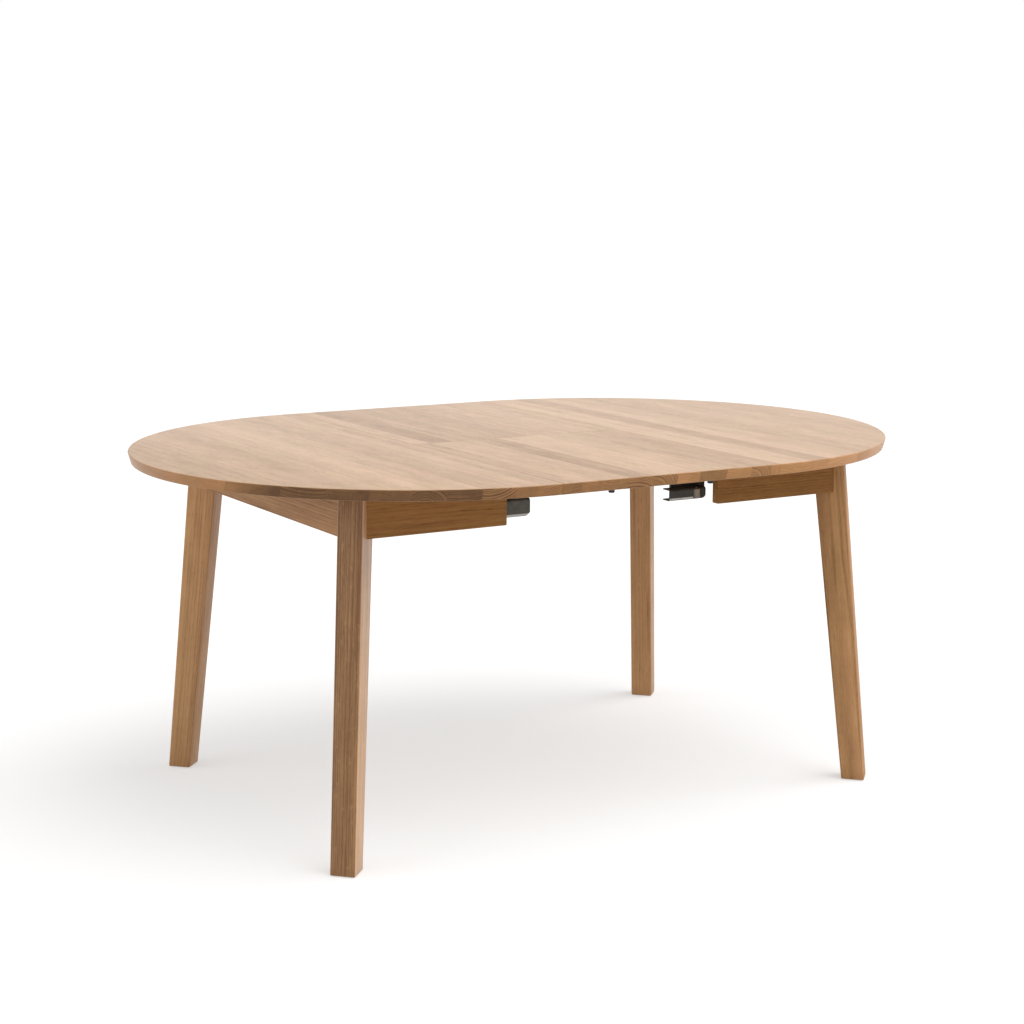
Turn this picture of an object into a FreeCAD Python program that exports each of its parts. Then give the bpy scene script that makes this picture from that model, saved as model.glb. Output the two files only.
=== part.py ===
"""Extension table: two half-round tops on splayed legs, pulled apart on steel runners round a folding leaf.

Frame: millimetres, +Z up, origin on the floor under the middle of the table. X runs along the table,
from the left half (-X) to the right half (+X). Y runs across it, front (-Y) to back (+Y).
The table stands open, with its leaf unfolded between the half tops.
"""
import FreeCAD
import Part
import math
import os

Vector = FreeCAD.Vector

# --- driving dimensions: the whole table ---
TABLE_HEIGHT = 740.0
TOP_THICKNESS = 22.0
HALF_TOP_RADIUS = 585.0
LEAF_WIDTH = 500.0
SEAM_GAP = 0.5
EDGE_ROUND = 3.0
EDGE_ARRIS = 1.5

# --- aprons: insets are measured in from the edge of the half top ---
APRON_HEIGHT = 88.0
APRON_THICKNESS = 20.0
SIDE_APRON_INSET = 203.0
END_APRON_INSET = 246.0
APRON_END_SETBACK = 0.5
APRON_ROUND = 1.5

# --- legs: section set on the diagonal, depth measured along it ---
LEG_SETBACK = 29.0
LEG_SPLAY = 54.0
LEG_WIDTH = 50.0
LEG_DEPTH_TOP = 65.0
LEG_DEPTH_FOOT = 49.0
LEG_CORNER_ROUND = 3.5
GLIDE_DIAMETER = 20.0
GLIDE_THICKNESS = 4.0
GLIDE_STAND = 1.5

# --- leg fastening ---
BRACKET_STEEL = 3.0
BRACKET_HEIGHT = 32.0
BRACKET_LIFT = 4.0
BRACKET_FLANGE = 22.0
BRACKET_CLEARANCE = 2.0
BRACKET_SCREW_INSET = 7.0
BRACKET_SCREW_EDGE = 8.0
BOLT_DIAMETER = 8.0
BOLT_IN_LEG = 30.0
BOLT_OUT = 16.0
NUT_WIDTH = 13.0
NUT_HEIGHT = 6.5
WASHER_DIAMETER = 18.0
WASHER_THICKNESS = 1.6

# --- screws ---
SCREW_SHANK = 3.5
SCREW_LENGTH = 14.0
SCREW_HEAD = 7.0
SCREW_HEAD_HEIGHT = 2.2
BATTEN_SCREW_LENGTH = 32.0

# --- battens and clips under the tops ---
BATTEN_WIDTH = 40.0
BATTEN_HEIGHT = 18.0
BATTEN_Y = 170.0
BATTEN_ROUND = 4.0
BATTEN_MARGIN = 50.0
BATTEN_APRON_GAP = 49.0
CLIP_STEEL = 2.0
CLIP_LEG = 28.0
CLIP_WIDTH = 25.0
CLIP_PITCH = 180.0
CLIP_SCREW_INSET = 17.0

# --- tongues that carry the edges of the leaf, places measured from the ends of the seam ---
TONGUE_STEEL = 3.0
TONGUE_JOGGLE = 1.0
TONGUE_REACH = 20.0
TONGUE_BACK = 40.0
TONGUE_WIDTH = 36.0
TONGUE_SCREW_PITCH = 18.0
TONGUE_SCREW_INSET = 13.0
LEFT_TONGUE_INSET = 135.0
RIGHT_TONGUE_INSET = 80.0
RIGHT_TONGUE_SHIFT = 60.0

# --- buffers under the leaf ---
BUFFER_DIAMETER = 12.0
BUFFER_HEIGHT = 12.0
BUFFER_PITCH = 230.0
BUFFER_INSET = 45.0

# --- fold of the leaf: concealed barrel hinges whose axis lies just above the top ---
FOLD_GAP = 0.3
HINGE_DIAMETER = 14.0
HINGE_LENGTH = 22.0
HINGE_INSET = 75.0
HINGE_COUNT = 3
LINK_THICKNESS = 3.0
LINK_HEIGHT = 6.0
LINK_REACH = 5.0
LINK_CLEARANCE = 0.3
LINK_SWING = 1.3

# --- rails, one per half frame on each side ---
RAIL_STEEL = 2.0
RAIL_HEIGHT = 28.0
RAIL_DEPTH = 25.0
RAIL_DROP = 3.0
RAIL_LEG_GAP = 52.0
RAIL_ENGAGED = 108.0
RAIL_EAR_LENGTH = 25.0
RAIL_EAR_REACH = 30.0
RAIL_EAR_INSET = 25.0
RAIL_EAR_SEAM_INSET = 40.0
RAIL_EAR_PARK_GAP = 25.0
RAIL_SCREW_INSET = 50.0
SEAM_SCREW_INSET = 24.0
SIDE_SCREW_COUNT = 3
RAIL_STOP_STEEL = 2.0
RAIL_STOP_GAP = 0.4

# --- middle bar and its slides ---
BAR_THICKNESS = 8.0
BAR_HEIGHT = 22.0
BAR_LEFT_RAIL_GAP = 3.0
BAR_RIGHT_RAIL_GAP = 0.5
SLIDE_LENGTH = 30.0
SLIDE_PITCH = 73.0
SLIDE_CLEARANCE = 0.4
HANGER_THICKNESS = 6.0
WHEEL_HANGER_WIDTH = 34.0
PIN_DIAMETER = 5.0
PIN_SHOULDER_DIAMETER = 9.0
PIN_HEAD_HEIGHT = 1.5
BORE_CLEARANCE = 0.05
SIDE_CLEARANCE = 0.3

# --- guide channel on the left half frame and the wheel that runs in it ---
CHANNEL_STEEL = 2.5
CHANNEL_HEIGHT = 35.0
CHANNEL_DEPTH = 25.0
CHANNEL_DROP = 78.0
CHANNEL_CHAMFER = 8.0
CHANNEL_PAST_WHEEL = 28.0
CHANNEL_BEHIND_WHEEL = 13.0
CHANNEL_SCREW_INSET = 20.0
WHEEL_FROM_BAR_END = 43.0
WHEEL_DIAMETER = 29.4
WHEEL_WIDTH = 12.0
WHEEL_WEB_GAP = 4.5

# --- guide shoe on the middle bar and its roller, places measured from the bar's end ---
SHOE_STEEL = 2.5
SHOE_DROP = 78.0
SHOE_HEIGHT = 24.0
SHOE_DEPTH = 25.0
SHOE_LENGTH = 89.0
SHOE_FROM_BAR_END = 21.0
SHOE_CHAMFER = 6.0
SHOE_HANGER_FROM_END = 6.0
SHOE_HANGER_WIDTH = 85.0
ROLLER_FROM_END = 42.0
ROLLER_DIAMETER = 18.0
ROLLER_WALL_GAP = 0.4
ROLLER_WINDOW = 20.0

# --- worked out from the above: plan ---
SEAM_X = LEAF_WIDTH / 2.0
HALF_TOP_EDGE = SEAM_X + SEAM_GAP
APRON_END = HALF_TOP_EDGE + APRON_END_SETBACK
SIDE_APRON_FACE_Y = HALF_TOP_RADIUS - SIDE_APRON_INSET
SIDE_APRON_INNER_Y = SIDE_APRON_FACE_Y - APRON_THICKNESS
END_APRON_FACE_X = SEAM_X + HALF_TOP_RADIUS - END_APRON_INSET
END_APRON_INNER_X = END_APRON_FACE_X - APRON_THICKNESS
LEG_TOP_X = END_APRON_FACE_X - LEG_SETBACK
LEG_TOP_Y = SIDE_APRON_FACE_Y - LEG_SETBACK

# --- worked out from the above: the runners, which must fit between the legs when the table is closed ---
BAR_HALF_LENGTH = LEG_TOP_X - SEAM_X - RAIL_LEG_GAP
BAR_Y = SIDE_APRON_INNER_Y - RAIL_DEPTH - BAR_LEFT_RAIL_GAP
RAIL_START = BAR_HALF_LENGTH - RAIL_ENGAGED
RAIL_END = SEAM_X + BAR_HALF_LENGTH
PARKED_RAIL_START = RAIL_START - LEAF_WIDTH
SEAM_SCREW_X = APRON_END + SEAM_SCREW_INSET
RIGHT_RAIL_Y = BAR_Y - BAR_THICKNESS - BAR_RIGHT_RAIL_GAP
WHEEL_X = WHEEL_FROM_BAR_END - BAR_HALF_LENGTH
CHANNEL_END = WHEEL_X + CHANNEL_PAST_WHEEL
CHANNEL_START = WHEEL_X - SEAM_X - CHANNEL_BEHIND_WHEEL
SHOE_END_X = BAR_HALF_LENGTH - SHOE_FROM_BAR_END
SHOE_START_X = SHOE_END_X - SHOE_LENGTH
ROLLER_X = BAR_HALF_LENGTH - ROLLER_FROM_END
SHOE_HANGER_END = BAR_HALF_LENGTH - SHOE_HANGER_FROM_END

# --- worked out from the above: heights ---
UNDERSIDE = TABLE_HEIGHT - TOP_THICKNESS
APRON_BOTTOM = UNDERSIDE - APRON_HEIGHT
RAIL_TOP = UNDERSIDE - RAIL_DROP
RAIL_BOTTOM = RAIL_TOP - RAIL_HEIGHT
BAR_MIDDLE_Z = RAIL_TOP - RAIL_HEIGHT / 2.0
CHANNEL_BOTTOM = UNDERSIDE - CHANNEL_DROP
CHANNEL_MIDDLE_Z = CHANNEL_BOTTOM + CHANNEL_HEIGHT / 2.0
SHOE_BOTTOM = UNDERSIDE - SHOE_DROP
BRACKET_BOTTOM = APRON_BOTTOM + BRACKET_LIFT
DIAGONAL = math.sqrt(2.0)


def box(x0, x1, y0, y1, z0, z1):
    """A block between two opposite corners."""
    low = Vector(min(x0, x1), min(y0, y1), min(z0, z1))
    return Part.makeBox(abs(x1 - x0), abs(y1 - y0), abs(z1 - z0), low)


def prism(corners, z0, z1):
    """An upright prism over a plan polygon."""
    points = [Vector(x, y, z0) for x, y in corners]
    points.append(points[0])
    face = Part.Face(Part.makePolygon(points))
    return face.extrude(Vector(0, 0, z1 - z0))


def rod(diameter, start, direction, length):
    """A round bar from a start point along a direction."""
    return Part.makeCylinder(diameter / 2.0, length, Vector(*start), Vector(*direction))


def fuse(shapes):
    """One solid from pieces that meet."""
    whole = shapes[0].multiFuse(shapes[1:]) if len(shapes) > 1 else shapes[0]
    return whole.removeSplitter()


def mirror_x(shape):
    """The same piece on the other half of the table."""
    return shape.mirror(Vector(0, 0, 0), Vector(1, 0, 0))


def mirror_y(shape):
    """The same piece on the other side of the table."""
    return shape.mirror(Vector(0, 0, 0), Vector(0, 1, 0))


def rounded_edges(shape, radius, wanted):
    """Round the edges for which wanted(edge) is true."""
    edges = [edge for edge in shape.Edges if wanted(edge)]
    return shape.makeFillet(radius, edges)


def at_height(z):
    """A test for edges that lie flat at one height."""
    def test(edge):
        bounds = edge.BoundBox
        return abs(bounds.ZMin - z) < 1e-4 and abs(bounds.ZMax - z) < 1e-4
    return test


def screw(point, direction, length=SCREW_LENGTH):
    """A pan-head screw: the head stands on the surface at point, the shank runs along direction."""
    back = Vector(*direction).normalize() * -SCREW_HEAD_HEIGHT
    head_start = Vector(*point) + back
    head = rod(SCREW_HEAD, head_start, direction, SCREW_HEAD_HEIGHT)
    shank = rod(SCREW_SHANK, point, direction, length)
    return fuse([head, shank])


def drilled(shape, fasteners):
    """The shape with a hole where each fastener passes through it."""
    cutters = [item for item in fasteners if item.BoundBox.intersect(shape.BoundBox)]
    return shape.cut(cutters) if cutters else shape


def group(shapes):
    """Several separate solids in one node."""
    return Part.makeCompound(shapes)


def spaced(first, last, count):
    """Evenly spaced places from first to last."""
    step = (last - first) / (count - 1)
    return [first + step * number for number in range(count)]


# ---------------------------------------------------------------- tops and leaf

def half_top():
    """Left half top: a half disc whose straight side is the seam."""
    disc = rod(2.0 * HALF_TOP_RADIUS, (-SEAM_X, 0, UNDERSIDE), (0, 0, 1), TOP_THICKNESS)
    disc = rounded_edges(disc, EDGE_ROUND, at_height(TABLE_HEIGHT))
    disc = rounded_edges(disc, EDGE_ARRIS, at_height(UNDERSIDE))
    beyond = HALF_TOP_RADIUS + SEAM_X
    return disc.cut(box(-HALF_TOP_EDGE, beyond, -beyond, beyond, 0, TABLE_HEIGHT + 1))


def leaf_half():
    """Front half of the leaf: a plain board whose outer end carries the same rounding as the half tops."""
    board = box(-SEAM_X, SEAM_X, -HALF_TOP_RADIUS, -FOLD_GAP / 2, UNDERSIDE, TABLE_HEIGHT)

    def end_edge_at(z):
        flat = at_height(z)
        return lambda edge: flat(edge) and abs(edge.CenterOfMass.y + HALF_TOP_RADIUS) < 1e-4

    board = rounded_edges(board, EDGE_ROUND, end_edge_at(TABLE_HEIGHT))
    return rounded_edges(board, EDGE_ARRIS, end_edge_at(UNDERSIDE))


def batten(x0, x1, y):
    """A strip along X under a top, its lower corners rounded."""
    strip = box(x0, x1, y - BATTEN_WIDTH / 2, y + BATTEN_WIDTH / 2, UNDERSIDE - BATTEN_HEIGHT, UNDERSIDE)
    return rounded_edges(strip, BATTEN_ROUND, at_height(UNDERSIDE - BATTEN_HEIGHT))


def battens_and_screws(x0, x1, places):
    """Battens at places along Y, and the screws that hold each at its ends and middle."""
    strips = []
    screws = []
    inset = BATTEN_WIDTH / 2
    bottom = UNDERSIDE - BATTEN_HEIGHT
    for y in places:
        strips.append(batten(x0, x1, y))
        for x in (x0 + inset, (x0 + x1) / 2, x1 - inset):
            screws.append(screw((x, y, bottom), (0, 0, 1), BATTEN_SCREW_LENGTH))
    return [drilled(strip, screws) for strip in strips], screws


def seam_tongues(places):
    """Joggled plates under the left half top that reach under the leaf, and their screws."""
    plates = []
    screws = []
    back_x = -HALF_TOP_EDGE - TONGUE_BACK
    joggle_x = -HALF_TOP_EDGE - TONGUE_STEEL
    tip_x = -HALF_TOP_EDGE + TONGUE_REACH
    lower = UNDERSIDE - TONGUE_STEEL
    for y in places:
        y0 = y - TONGUE_WIDTH / 2
        y1 = y + TONGUE_WIDTH / 2
        fixed = box(back_x, joggle_x, y0, y1, lower, UNDERSIDE)
        step = box(joggle_x - TONGUE_STEEL, joggle_x, y0, y1, lower - TONGUE_JOGGLE, UNDERSIDE)
        tip = box(joggle_x - TONGUE_STEEL, tip_x, y0, y1, lower - TONGUE_JOGGLE, UNDERSIDE - TONGUE_JOGGLE)
        plates.append(fuse([fixed, step, tip]))
        for side in (-1, 1):
            place = (back_x + TONGUE_SCREW_INSET, y + side * TONGUE_SCREW_PITCH / 2, lower)
            screws.append(screw(place, (0, 0, 1)))
    return [drilled(plate, screws) for plate in plates], screws


def leaf_buffers():
    """Two round buffers under the front half of the leaf, near its outer end."""
    base = UNDERSIDE - BUFFER_HEIGHT
    buffers = []
    for x in (-BUFFER_PITCH / 2, BUFFER_PITCH / 2):
        peg = rod(BUFFER_DIAMETER, (x, BUFFER_INSET - HALF_TOP_RADIUS, base), (0, 0, 1), BUFFER_HEIGHT)
        buffers.append(rounded_edges(peg, EDGE_ARRIS, at_height(base)))
    return buffers


def fold_hinge_places():
    """Places of the fold hinges along X."""
    return spaced(HINGE_INSET - SEAM_X, SEAM_X - HINGE_INSET, HINGE_COUNT)


def fold_barrels():
    """Hinge barrels let into the inner edge of the front half of the leaf."""
    middle_z = TABLE_HEIGHT - TOP_THICKNESS / 2
    return [rod(HINGE_DIAMETER, (x, -FOLD_GAP / 2, middle_z), (0, -1, 0), HINGE_LENGTH)
            for x in fold_hinge_places()]


def front_fold_hinges():
    """Front barrels with the links that reach into the back ones."""
    low = TABLE_HEIGHT - TOP_THICKNESS / 2 - LINK_HEIGHT / 2
    half = LINK_THICKNESS / 2
    hinges = []
    for x, barrel in zip(fold_hinge_places(), fold_barrels()):
        link = box(x - half, x + half, -LINK_REACH, LINK_REACH, low, low + LINK_HEIGHT)
        hinges.append(fuse([barrel, link]))
    return hinges


def back_fold_hinges():
    """Back barrels, each with a slot in which the link swings as the leaf folds."""
    middle_z = TABLE_HEIGHT - TOP_THICKNESS / 2
    half = LINK_THICKNESS / 2 + LINK_CLEARANCE
    low = middle_z - LINK_HEIGHT / 2 - LINK_SWING
    high = middle_z + LINK_HEIGHT / 2 + LINK_CLEARANCE
    hinges = []
    for x, barrel in zip(fold_hinge_places(), fold_barrels()):
        slot = box(x - half, x + half, 0, LINK_REACH + LINK_CLEARANCE, low, high)
        hinges.append(mirror_y(barrel).cut(slot))
    return hinges


# ---------------------------------------------------------------- legs and aprons

def leg_section(z):
    """Closed outline of the front left leg at one height, its depth along the table's diagonal."""
    part_way = (UNDERSIDE - z) / UNDERSIDE
    centre_x = -LEG_TOP_X - LEG_SPLAY * part_way
    centre_y = -LEG_TOP_Y - LEG_SPLAY * part_way
    depth = LEG_DEPTH_TOP + (LEG_DEPTH_FOOT - LEG_DEPTH_TOP) * part_way
    plate = Part.makeBox(depth, LEG_WIDTH, 1.0, Vector(-depth / 2, -LEG_WIDTH / 2, 0))
    uprights = [edge for edge in plate.Edges if edge.BoundBox.ZLength > 0.5]
    plate = plate.makeFillet(LEG_CORNER_ROUND, uprights)
    plate.rotate(Vector(0, 0, 0), Vector(0, 0, 1), 45.0)
    plate.translate(Vector(centre_x, centre_y, z))
    bottom = [face for face in plate.Faces if face.BoundBox.ZLength < 1e-6 and face.BoundBox.ZMin < z + 0.5]
    return bottom[0].OuterWire


def leg():
    """Front left leg: a straight taper from the underside of the top to its foot."""
    blank = Part.makeLoft([leg_section(GLIDE_STAND), leg_section(UNDERSIDE)], True, True)
    recess = foot_glide()
    return blank.cut(recess)


def foot_glide():
    """Round glide let into the foot of the front left leg."""
    foot = LEG_TOP_Y + LEG_SPLAY
    place = (-LEG_TOP_X - LEG_SPLAY, -foot, 0)
    return rod(GLIDE_DIAMETER, place, (0, 0, 1), GLIDE_THICKNESS)


def leg_side_x(y):
    """X of the leg's side face toward the seam, at one Y (the face is upright and at 45 degrees)."""
    return -LEG_TOP_X + LEG_TOP_Y + y + LEG_WIDTH / 2 * DIAGONAL


def leg_side_y(x):
    """Y of the leg's side face toward the end apron, at one X."""
    return x + LEG_TOP_X - LEG_TOP_Y + LEG_WIDTH / 2 * DIAGONAL


def front_apron():
    """Left front apron: its outer end is cut at 45 degrees to meet the side of the leg."""
    outer = -SIDE_APRON_FACE_Y
    inner = -SIDE_APRON_INNER_Y
    corners = [(-APRON_END, outer), (-APRON_END, inner)]
    corners += [(leg_side_x(inner), inner), (leg_side_x(outer), outer)]
    board = prism(corners, APRON_BOTTOM, UNDERSIDE)
    seam_end = box(-APRON_END - 1, -APRON_END + 1, outer - 1, inner + 1, APRON_BOTTOM, UNDERSIDE).BoundBox

    def outside_edge(edge):
        low = at_height(APRON_BOTTOM)(edge) and edge.BoundBox.YLength < 1e-4
        end = seam_end.isInside(edge.BoundBox) and edge.BoundBox.ZLength > 1.0
        return low or end

    return rounded_edges(board, APRON_ROUND, outside_edge)


def end_apron():
    """Left end apron between the front and the back leg."""
    outer = -END_APRON_FACE_X
    inner = -END_APRON_INNER_X
    corners = [(outer, leg_side_y(outer)), (inner, leg_side_y(inner))]
    corners += [(inner, -leg_side_y(inner)), (outer, -leg_side_y(outer))]
    board = prism(corners, APRON_BOTTOM, UNDERSIDE)

    def low_edge(edge):
        return at_height(APRON_BOTTOM)(edge) and edge.BoundBox.XLength < 1e-4

    return rounded_edges(board, APRON_ROUND, low_edge)


# ---------------------------------------------------------------- leg fastening

def bracket_line():
    """x + y of the corner bracket's outer face, just clear of the leg's inner face at the bracket's top."""
    part_way = (APRON_HEIGHT - BRACKET_LIFT - BRACKET_HEIGHT) / UNDERSIDE
    centre_sum = -LEG_TOP_X - LEG_TOP_Y - 2 * LEG_SPLAY * part_way
    depth = LEG_DEPTH_TOP + (LEG_DEPTH_FOOT - LEG_DEPTH_TOP) * part_way
    return centre_sum + (depth / 2 + BRACKET_CLEARANCE) * DIAGONAL


def corner_bracket():
    """Bent steel bracket across the front left corner, flanged against both aprons."""
    line = bracket_line()
    back = line + BRACKET_STEEL * DIAGONAL
    y = -SIDE_APRON_INNER_Y
    x = -END_APRON_INNER_X
    top = BRACKET_BOTTOM + BRACKET_HEIGHT
    plate = prism([(line - y, y), (back - y, y), (x, back - x), (x, line - x)], BRACKET_BOTTOM, top)
    near = line - y
    far = line - x
    side_flange = box(near, near + BRACKET_FLANGE, y, y + BRACKET_STEEL, BRACKET_BOTTOM, top)
    end_flange = box(x, x + BRACKET_STEEL, far, far + BRACKET_FLANGE, BRACKET_BOTTOM, top)
    return fuse([plate, side_flange, end_flange])


def bracket_screws():
    """Two screws through each flange of the corner bracket."""
    line = bracket_line()
    screws = []
    x = -END_APRON_INNER_X
    y = -SIDE_APRON_INNER_Y
    middle = BRACKET_FLANGE - BRACKET_SCREW_INSET
    top = BRACKET_BOTTOM + BRACKET_HEIGHT
    for z in (BRACKET_BOTTOM + BRACKET_SCREW_EDGE, top - BRACKET_SCREW_EDGE):
        screws.append(screw((line - y + middle, y + BRACKET_STEEL, z), (0, -1, 0)))
        screws.append(screw((x + BRACKET_STEEL, line - x + middle, z), (-1, 0, 0)))
    return screws


def on_diagonal(distance):
    """Point at bracket mid-height on the leg's diagonal, a distance inward of the bracket's outer face."""
    offset = distance / DIAGONAL
    half_difference = (LEG_TOP_Y - LEG_TOP_X) / 2
    half_sum = bracket_line() / 2
    middle = BRACKET_BOTTOM + BRACKET_HEIGHT / 2
    return (half_sum + half_difference + offset, half_sum - half_difference + offset, middle)


def hanger_bolt():
    """Bolt screwed into the leg, through the corner bracket."""
    length = BOLT_IN_LEG + BRACKET_STEEL + BOLT_OUT
    return rod(BOLT_DIAMETER, on_diagonal(-BOLT_IN_LEG), (1, 1, 0), length)


def leg_nut():
    """Hexagon nut and its washer, as one flanged nut, on the inside of the corner bracket."""
    washer = rod(WASHER_DIAMETER, (0, 0, 0), (0, 0, 1), WASHER_THICKNESS)
    radius = NUT_WIDTH / math.sqrt(3.0)
    corners = []
    for step in range(6):
        angle = math.radians(60.0 * step)
        corners.append((radius * math.cos(angle), radius * math.sin(angle)))
    nut = fuse([washer, prism(corners, WASHER_THICKNESS, WASHER_THICKNESS + NUT_HEIGHT)])
    nut = nut.cut(rod(BOLT_DIAMETER, (0, 0, -1), (0, 0, 1), WASHER_THICKNESS + NUT_HEIGHT + 2))
    turn = FreeCAD.Rotation(Vector(0, 0, 1), Vector(1, 1, 0))
    nut.Placement = FreeCAD.Placement(Vector(*on_diagonal(BRACKET_STEEL)), turn)
    return nut


# ---------------------------------------------------------------- clips under the half tops

def top_clips():
    """Angle clips between the left end apron and the half top, and their screws."""
    x = -END_APRON_INNER_X
    clips = []
    screws = []
    for y in (-CLIP_PITCH, 0.0, CLIP_PITCH):
        y0 = y - CLIP_WIDTH / 2
        y1 = y + CLIP_WIDTH / 2
        upright = box(x, x + CLIP_STEEL, y0, y1, UNDERSIDE - CLIP_LEG, UNDERSIDE)
        shelf = box(x, x + CLIP_LEG, y0, y1, UNDERSIDE - CLIP_STEEL, UNDERSIDE)
        clips.append(fuse([upright, shelf]))
        screws.append(screw((x + CLIP_STEEL, y, UNDERSIDE - CLIP_SCREW_INSET), (-1, 0, 0)))
        screws.append(screw((x + CLIP_SCREW_INSET, y, UNDERSIDE - CLIP_STEEL), (0, 0, 1)))
    return [drilled(clip, screws) for clip in clips], screws


# ---------------------------------------------------------------- rails and the guide channel

def channel_section(y_web, y_mouth, z0, height, steel, x0, x1):
    """A C-section along X: the web stands at y_web, and the mouth opens toward y_mouth."""
    inward = 1.0 if y_mouth > y_web else -1.0
    outside = box(x0, x1, y_web, y_mouth, z0, z0 + height)
    mouth = y_mouth + inward
    hollow = box(x0 - 1, x1 + 1, y_web + inward * steel, mouth, z0 + steel, z0 + height - steel)
    return outside.cut(hollow)


def end_corner(x_end, z0, chamfer, y_web, depth):
    """A wedge that cuts the lower corner off the right-hand end of a channel."""
    corner = [(x_end - chamfer, z0), (x_end, z0), (x_end, z0 + chamfer)]
    points = [Vector(x, y_web - 1, z) for x, z in corner]
    points.append(points[0])
    return Part.Face(Part.makePolygon(points)).extrude(Vector(0, depth + 2, 0))


def rail_ears(y_rail, places):
    """Flat ears on the inward side of a front rail, under the half top, and the screws up through them."""
    ears = []
    screws = []
    for x in places:
        x0 = x - RAIL_EAR_LENGTH / 2
        x1 = x + RAIL_EAR_LENGTH / 2
        ears.append(box(x0, x1, y_rail - RAIL_STEEL, y_rail + RAIL_EAR_REACH, RAIL_TOP, UNDERSIDE))
        screws.append(screw((x, y_rail + RAIL_EAR_REACH / 2, RAIL_TOP), (0, 0, 1)))
    return ears, screws


def rail_stop(y_rail):
    """Plate across the seam end of the left rail: it stops the slides of the middle bar."""
    x0 = SLIDE_PITCH + SLIDE_LENGTH - BAR_HALF_LENGTH + RAIL_STOP_GAP
    return box(x0, x0 + RAIL_STOP_STEEL, y_rail, y_rail + RAIL_DEPTH, RAIL_BOTTOM, RAIL_TOP)


def left_rail():
    """Front rail of the left half frame: web against the apron, mouth toward the middle."""
    y = -SIDE_APRON_INNER_Y
    rail = channel_section(y, y + RAIL_DEPTH, RAIL_BOTTOM, RAIL_HEIGHT, RAIL_STEEL, -RAIL_END, -RAIL_START)
    clear_of_parked_rail = PARKED_RAIL_START - RAIL_EAR_PARK_GAP - RAIL_EAR_LENGTH / 2
    ears, screws = rail_ears(y + RAIL_DEPTH, [RAIL_EAR_INSET - RAIL_END, clear_of_parked_rail])
    for x in spaced(RAIL_SCREW_INSET - RAIL_END, -SEAM_SCREW_X, SIDE_SCREW_COUNT):
        screws.append(screw((x, y + RAIL_STEEL, BAR_MIDDLE_Z), (0, -1, 0)))
    return drilled(fuse([rail, rail_stop(y)] + ears), screws), screws


def right_rail():
    """Front rail of the right half frame, one bar's width further in: mouth toward the apron."""
    y_mouth = -RIGHT_RAIL_Y
    y_web = y_mouth + RAIL_DEPTH
    rail = channel_section(y_web, y_mouth, RAIL_BOTTOM, RAIL_HEIGHT, RAIL_STEEL, RAIL_START, RAIL_END)
    ear_places = spaced(RAIL_END - RAIL_EAR_INSET, HALF_TOP_EDGE + RAIL_EAR_SEAM_INSET, SIDE_SCREW_COUNT)
    ears, screws = rail_ears(y_web, ear_places)
    return drilled(fuse([rail, mirror_x(rail_stop(y_mouth))] + ears), screws), screws


def guide_channel():
    """Channel under the left rail that carries the wheel; it comes out past the end of the apron."""
    y_web = -SIDE_APRON_INNER_Y
    y_mouth = y_web + CHANNEL_DEPTH
    channel = channel_section(
        y_web, y_mouth, CHANNEL_BOTTOM, CHANNEL_HEIGHT, CHANNEL_STEEL, CHANNEL_START, CHANNEL_END)
    channel = channel.cut(end_corner(CHANNEL_END, CHANNEL_BOTTOM, CHANNEL_CHAMFER, y_web, CHANNEL_DEPTH))
    screws = []
    for x in spaced(CHANNEL_START + CHANNEL_SCREW_INSET, -SEAM_SCREW_X, SIDE_SCREW_COUNT):
        screws.append(screw((x, y_web + CHANNEL_STEEL, CHANNEL_MIDDLE_Z), (0, -1, 0)))
    return drilled(channel, screws), screws


# ---------------------------------------------------------------- middle bar, front side

def runner_pins():
    """The wheel's headed stud, riveted into the bar's hanger, and the upright pin of the roller."""
    outer = wheel_y() - SIDE_CLEARANCE
    shoulder = wheel_y() + WHEEL_WIDTH + SIDE_CLEARANCE
    hanger_face = -BAR_Y + (BAR_THICKNESS - HANGER_THICKNESS) / 2
    wheel_pin = fuse([
        stud_length(PIN_SHOULDER_DIAMETER, outer - PIN_HEAD_HEIGHT, outer),
        stud_length(PIN_DIAMETER, outer, -BAR_Y + BAR_THICKNESS),
        stud_length(PIN_SHOULDER_DIAMETER, shoulder, hanger_face),
    ])
    roller_pin = rod(PIN_DIAMETER, (ROLLER_X, roller_y(), SHOE_BOTTOM), (0, 0, 1), SHOE_HEIGHT)
    return [wheel_pin, roller_pin]


def stud_length(diameter, y0, y1):
    """A round length of the wheel's stud between two Y places."""
    return rod(diameter, (WHEEL_X, y0, CHANNEL_MIDDLE_Z), (0, 1, 0), y1 - y0)


def wheel_y():
    """Y of the wheel's outer side, inside the guide channel."""
    return CHANNEL_STEEL + WHEEL_WEB_GAP - SIDE_APRON_INNER_Y


def roller_y():
    """Y of the roller's pin: the roller runs just clear of the apron's inner face."""
    return -SIDE_APRON_INNER_Y + ROLLER_WALL_GAP + ROLLER_DIAMETER / 2


def runner_bar(pins):
    """Flat bar that slides in both rails, with a hanger for the wheel and one for the shoe."""
    y0 = -BAR_Y
    y1 = y0 + BAR_THICKNESS
    z0 = BAR_MIDDLE_Z - BAR_HEIGHT / 2
    bar = box(-BAR_HALF_LENGTH, BAR_HALF_LENGTH, y0, y1, z0, z0 + BAR_HEIGHT)
    hanger_y0 = (y0 + y1 - HANGER_THICKNESS) / 2
    hanger_y1 = hanger_y0 + HANGER_THICKNESS
    pieces = [bar]
    half = WHEEL_HANGER_WIDTH / 2
    pieces.append(box(WHEEL_X - half, WHEEL_X + half, hanger_y0, hanger_y1, CHANNEL_BOTTOM, z0))
    shoe_hanger_start = SHOE_HANGER_END - SHOE_HANGER_WIDTH
    pieces.append(box(shoe_hanger_start, SHOE_HANGER_END, hanger_y0, hanger_y1, SHOE_BOTTOM, z0))
    return drilled(fuse(pieces), pins)


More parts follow.
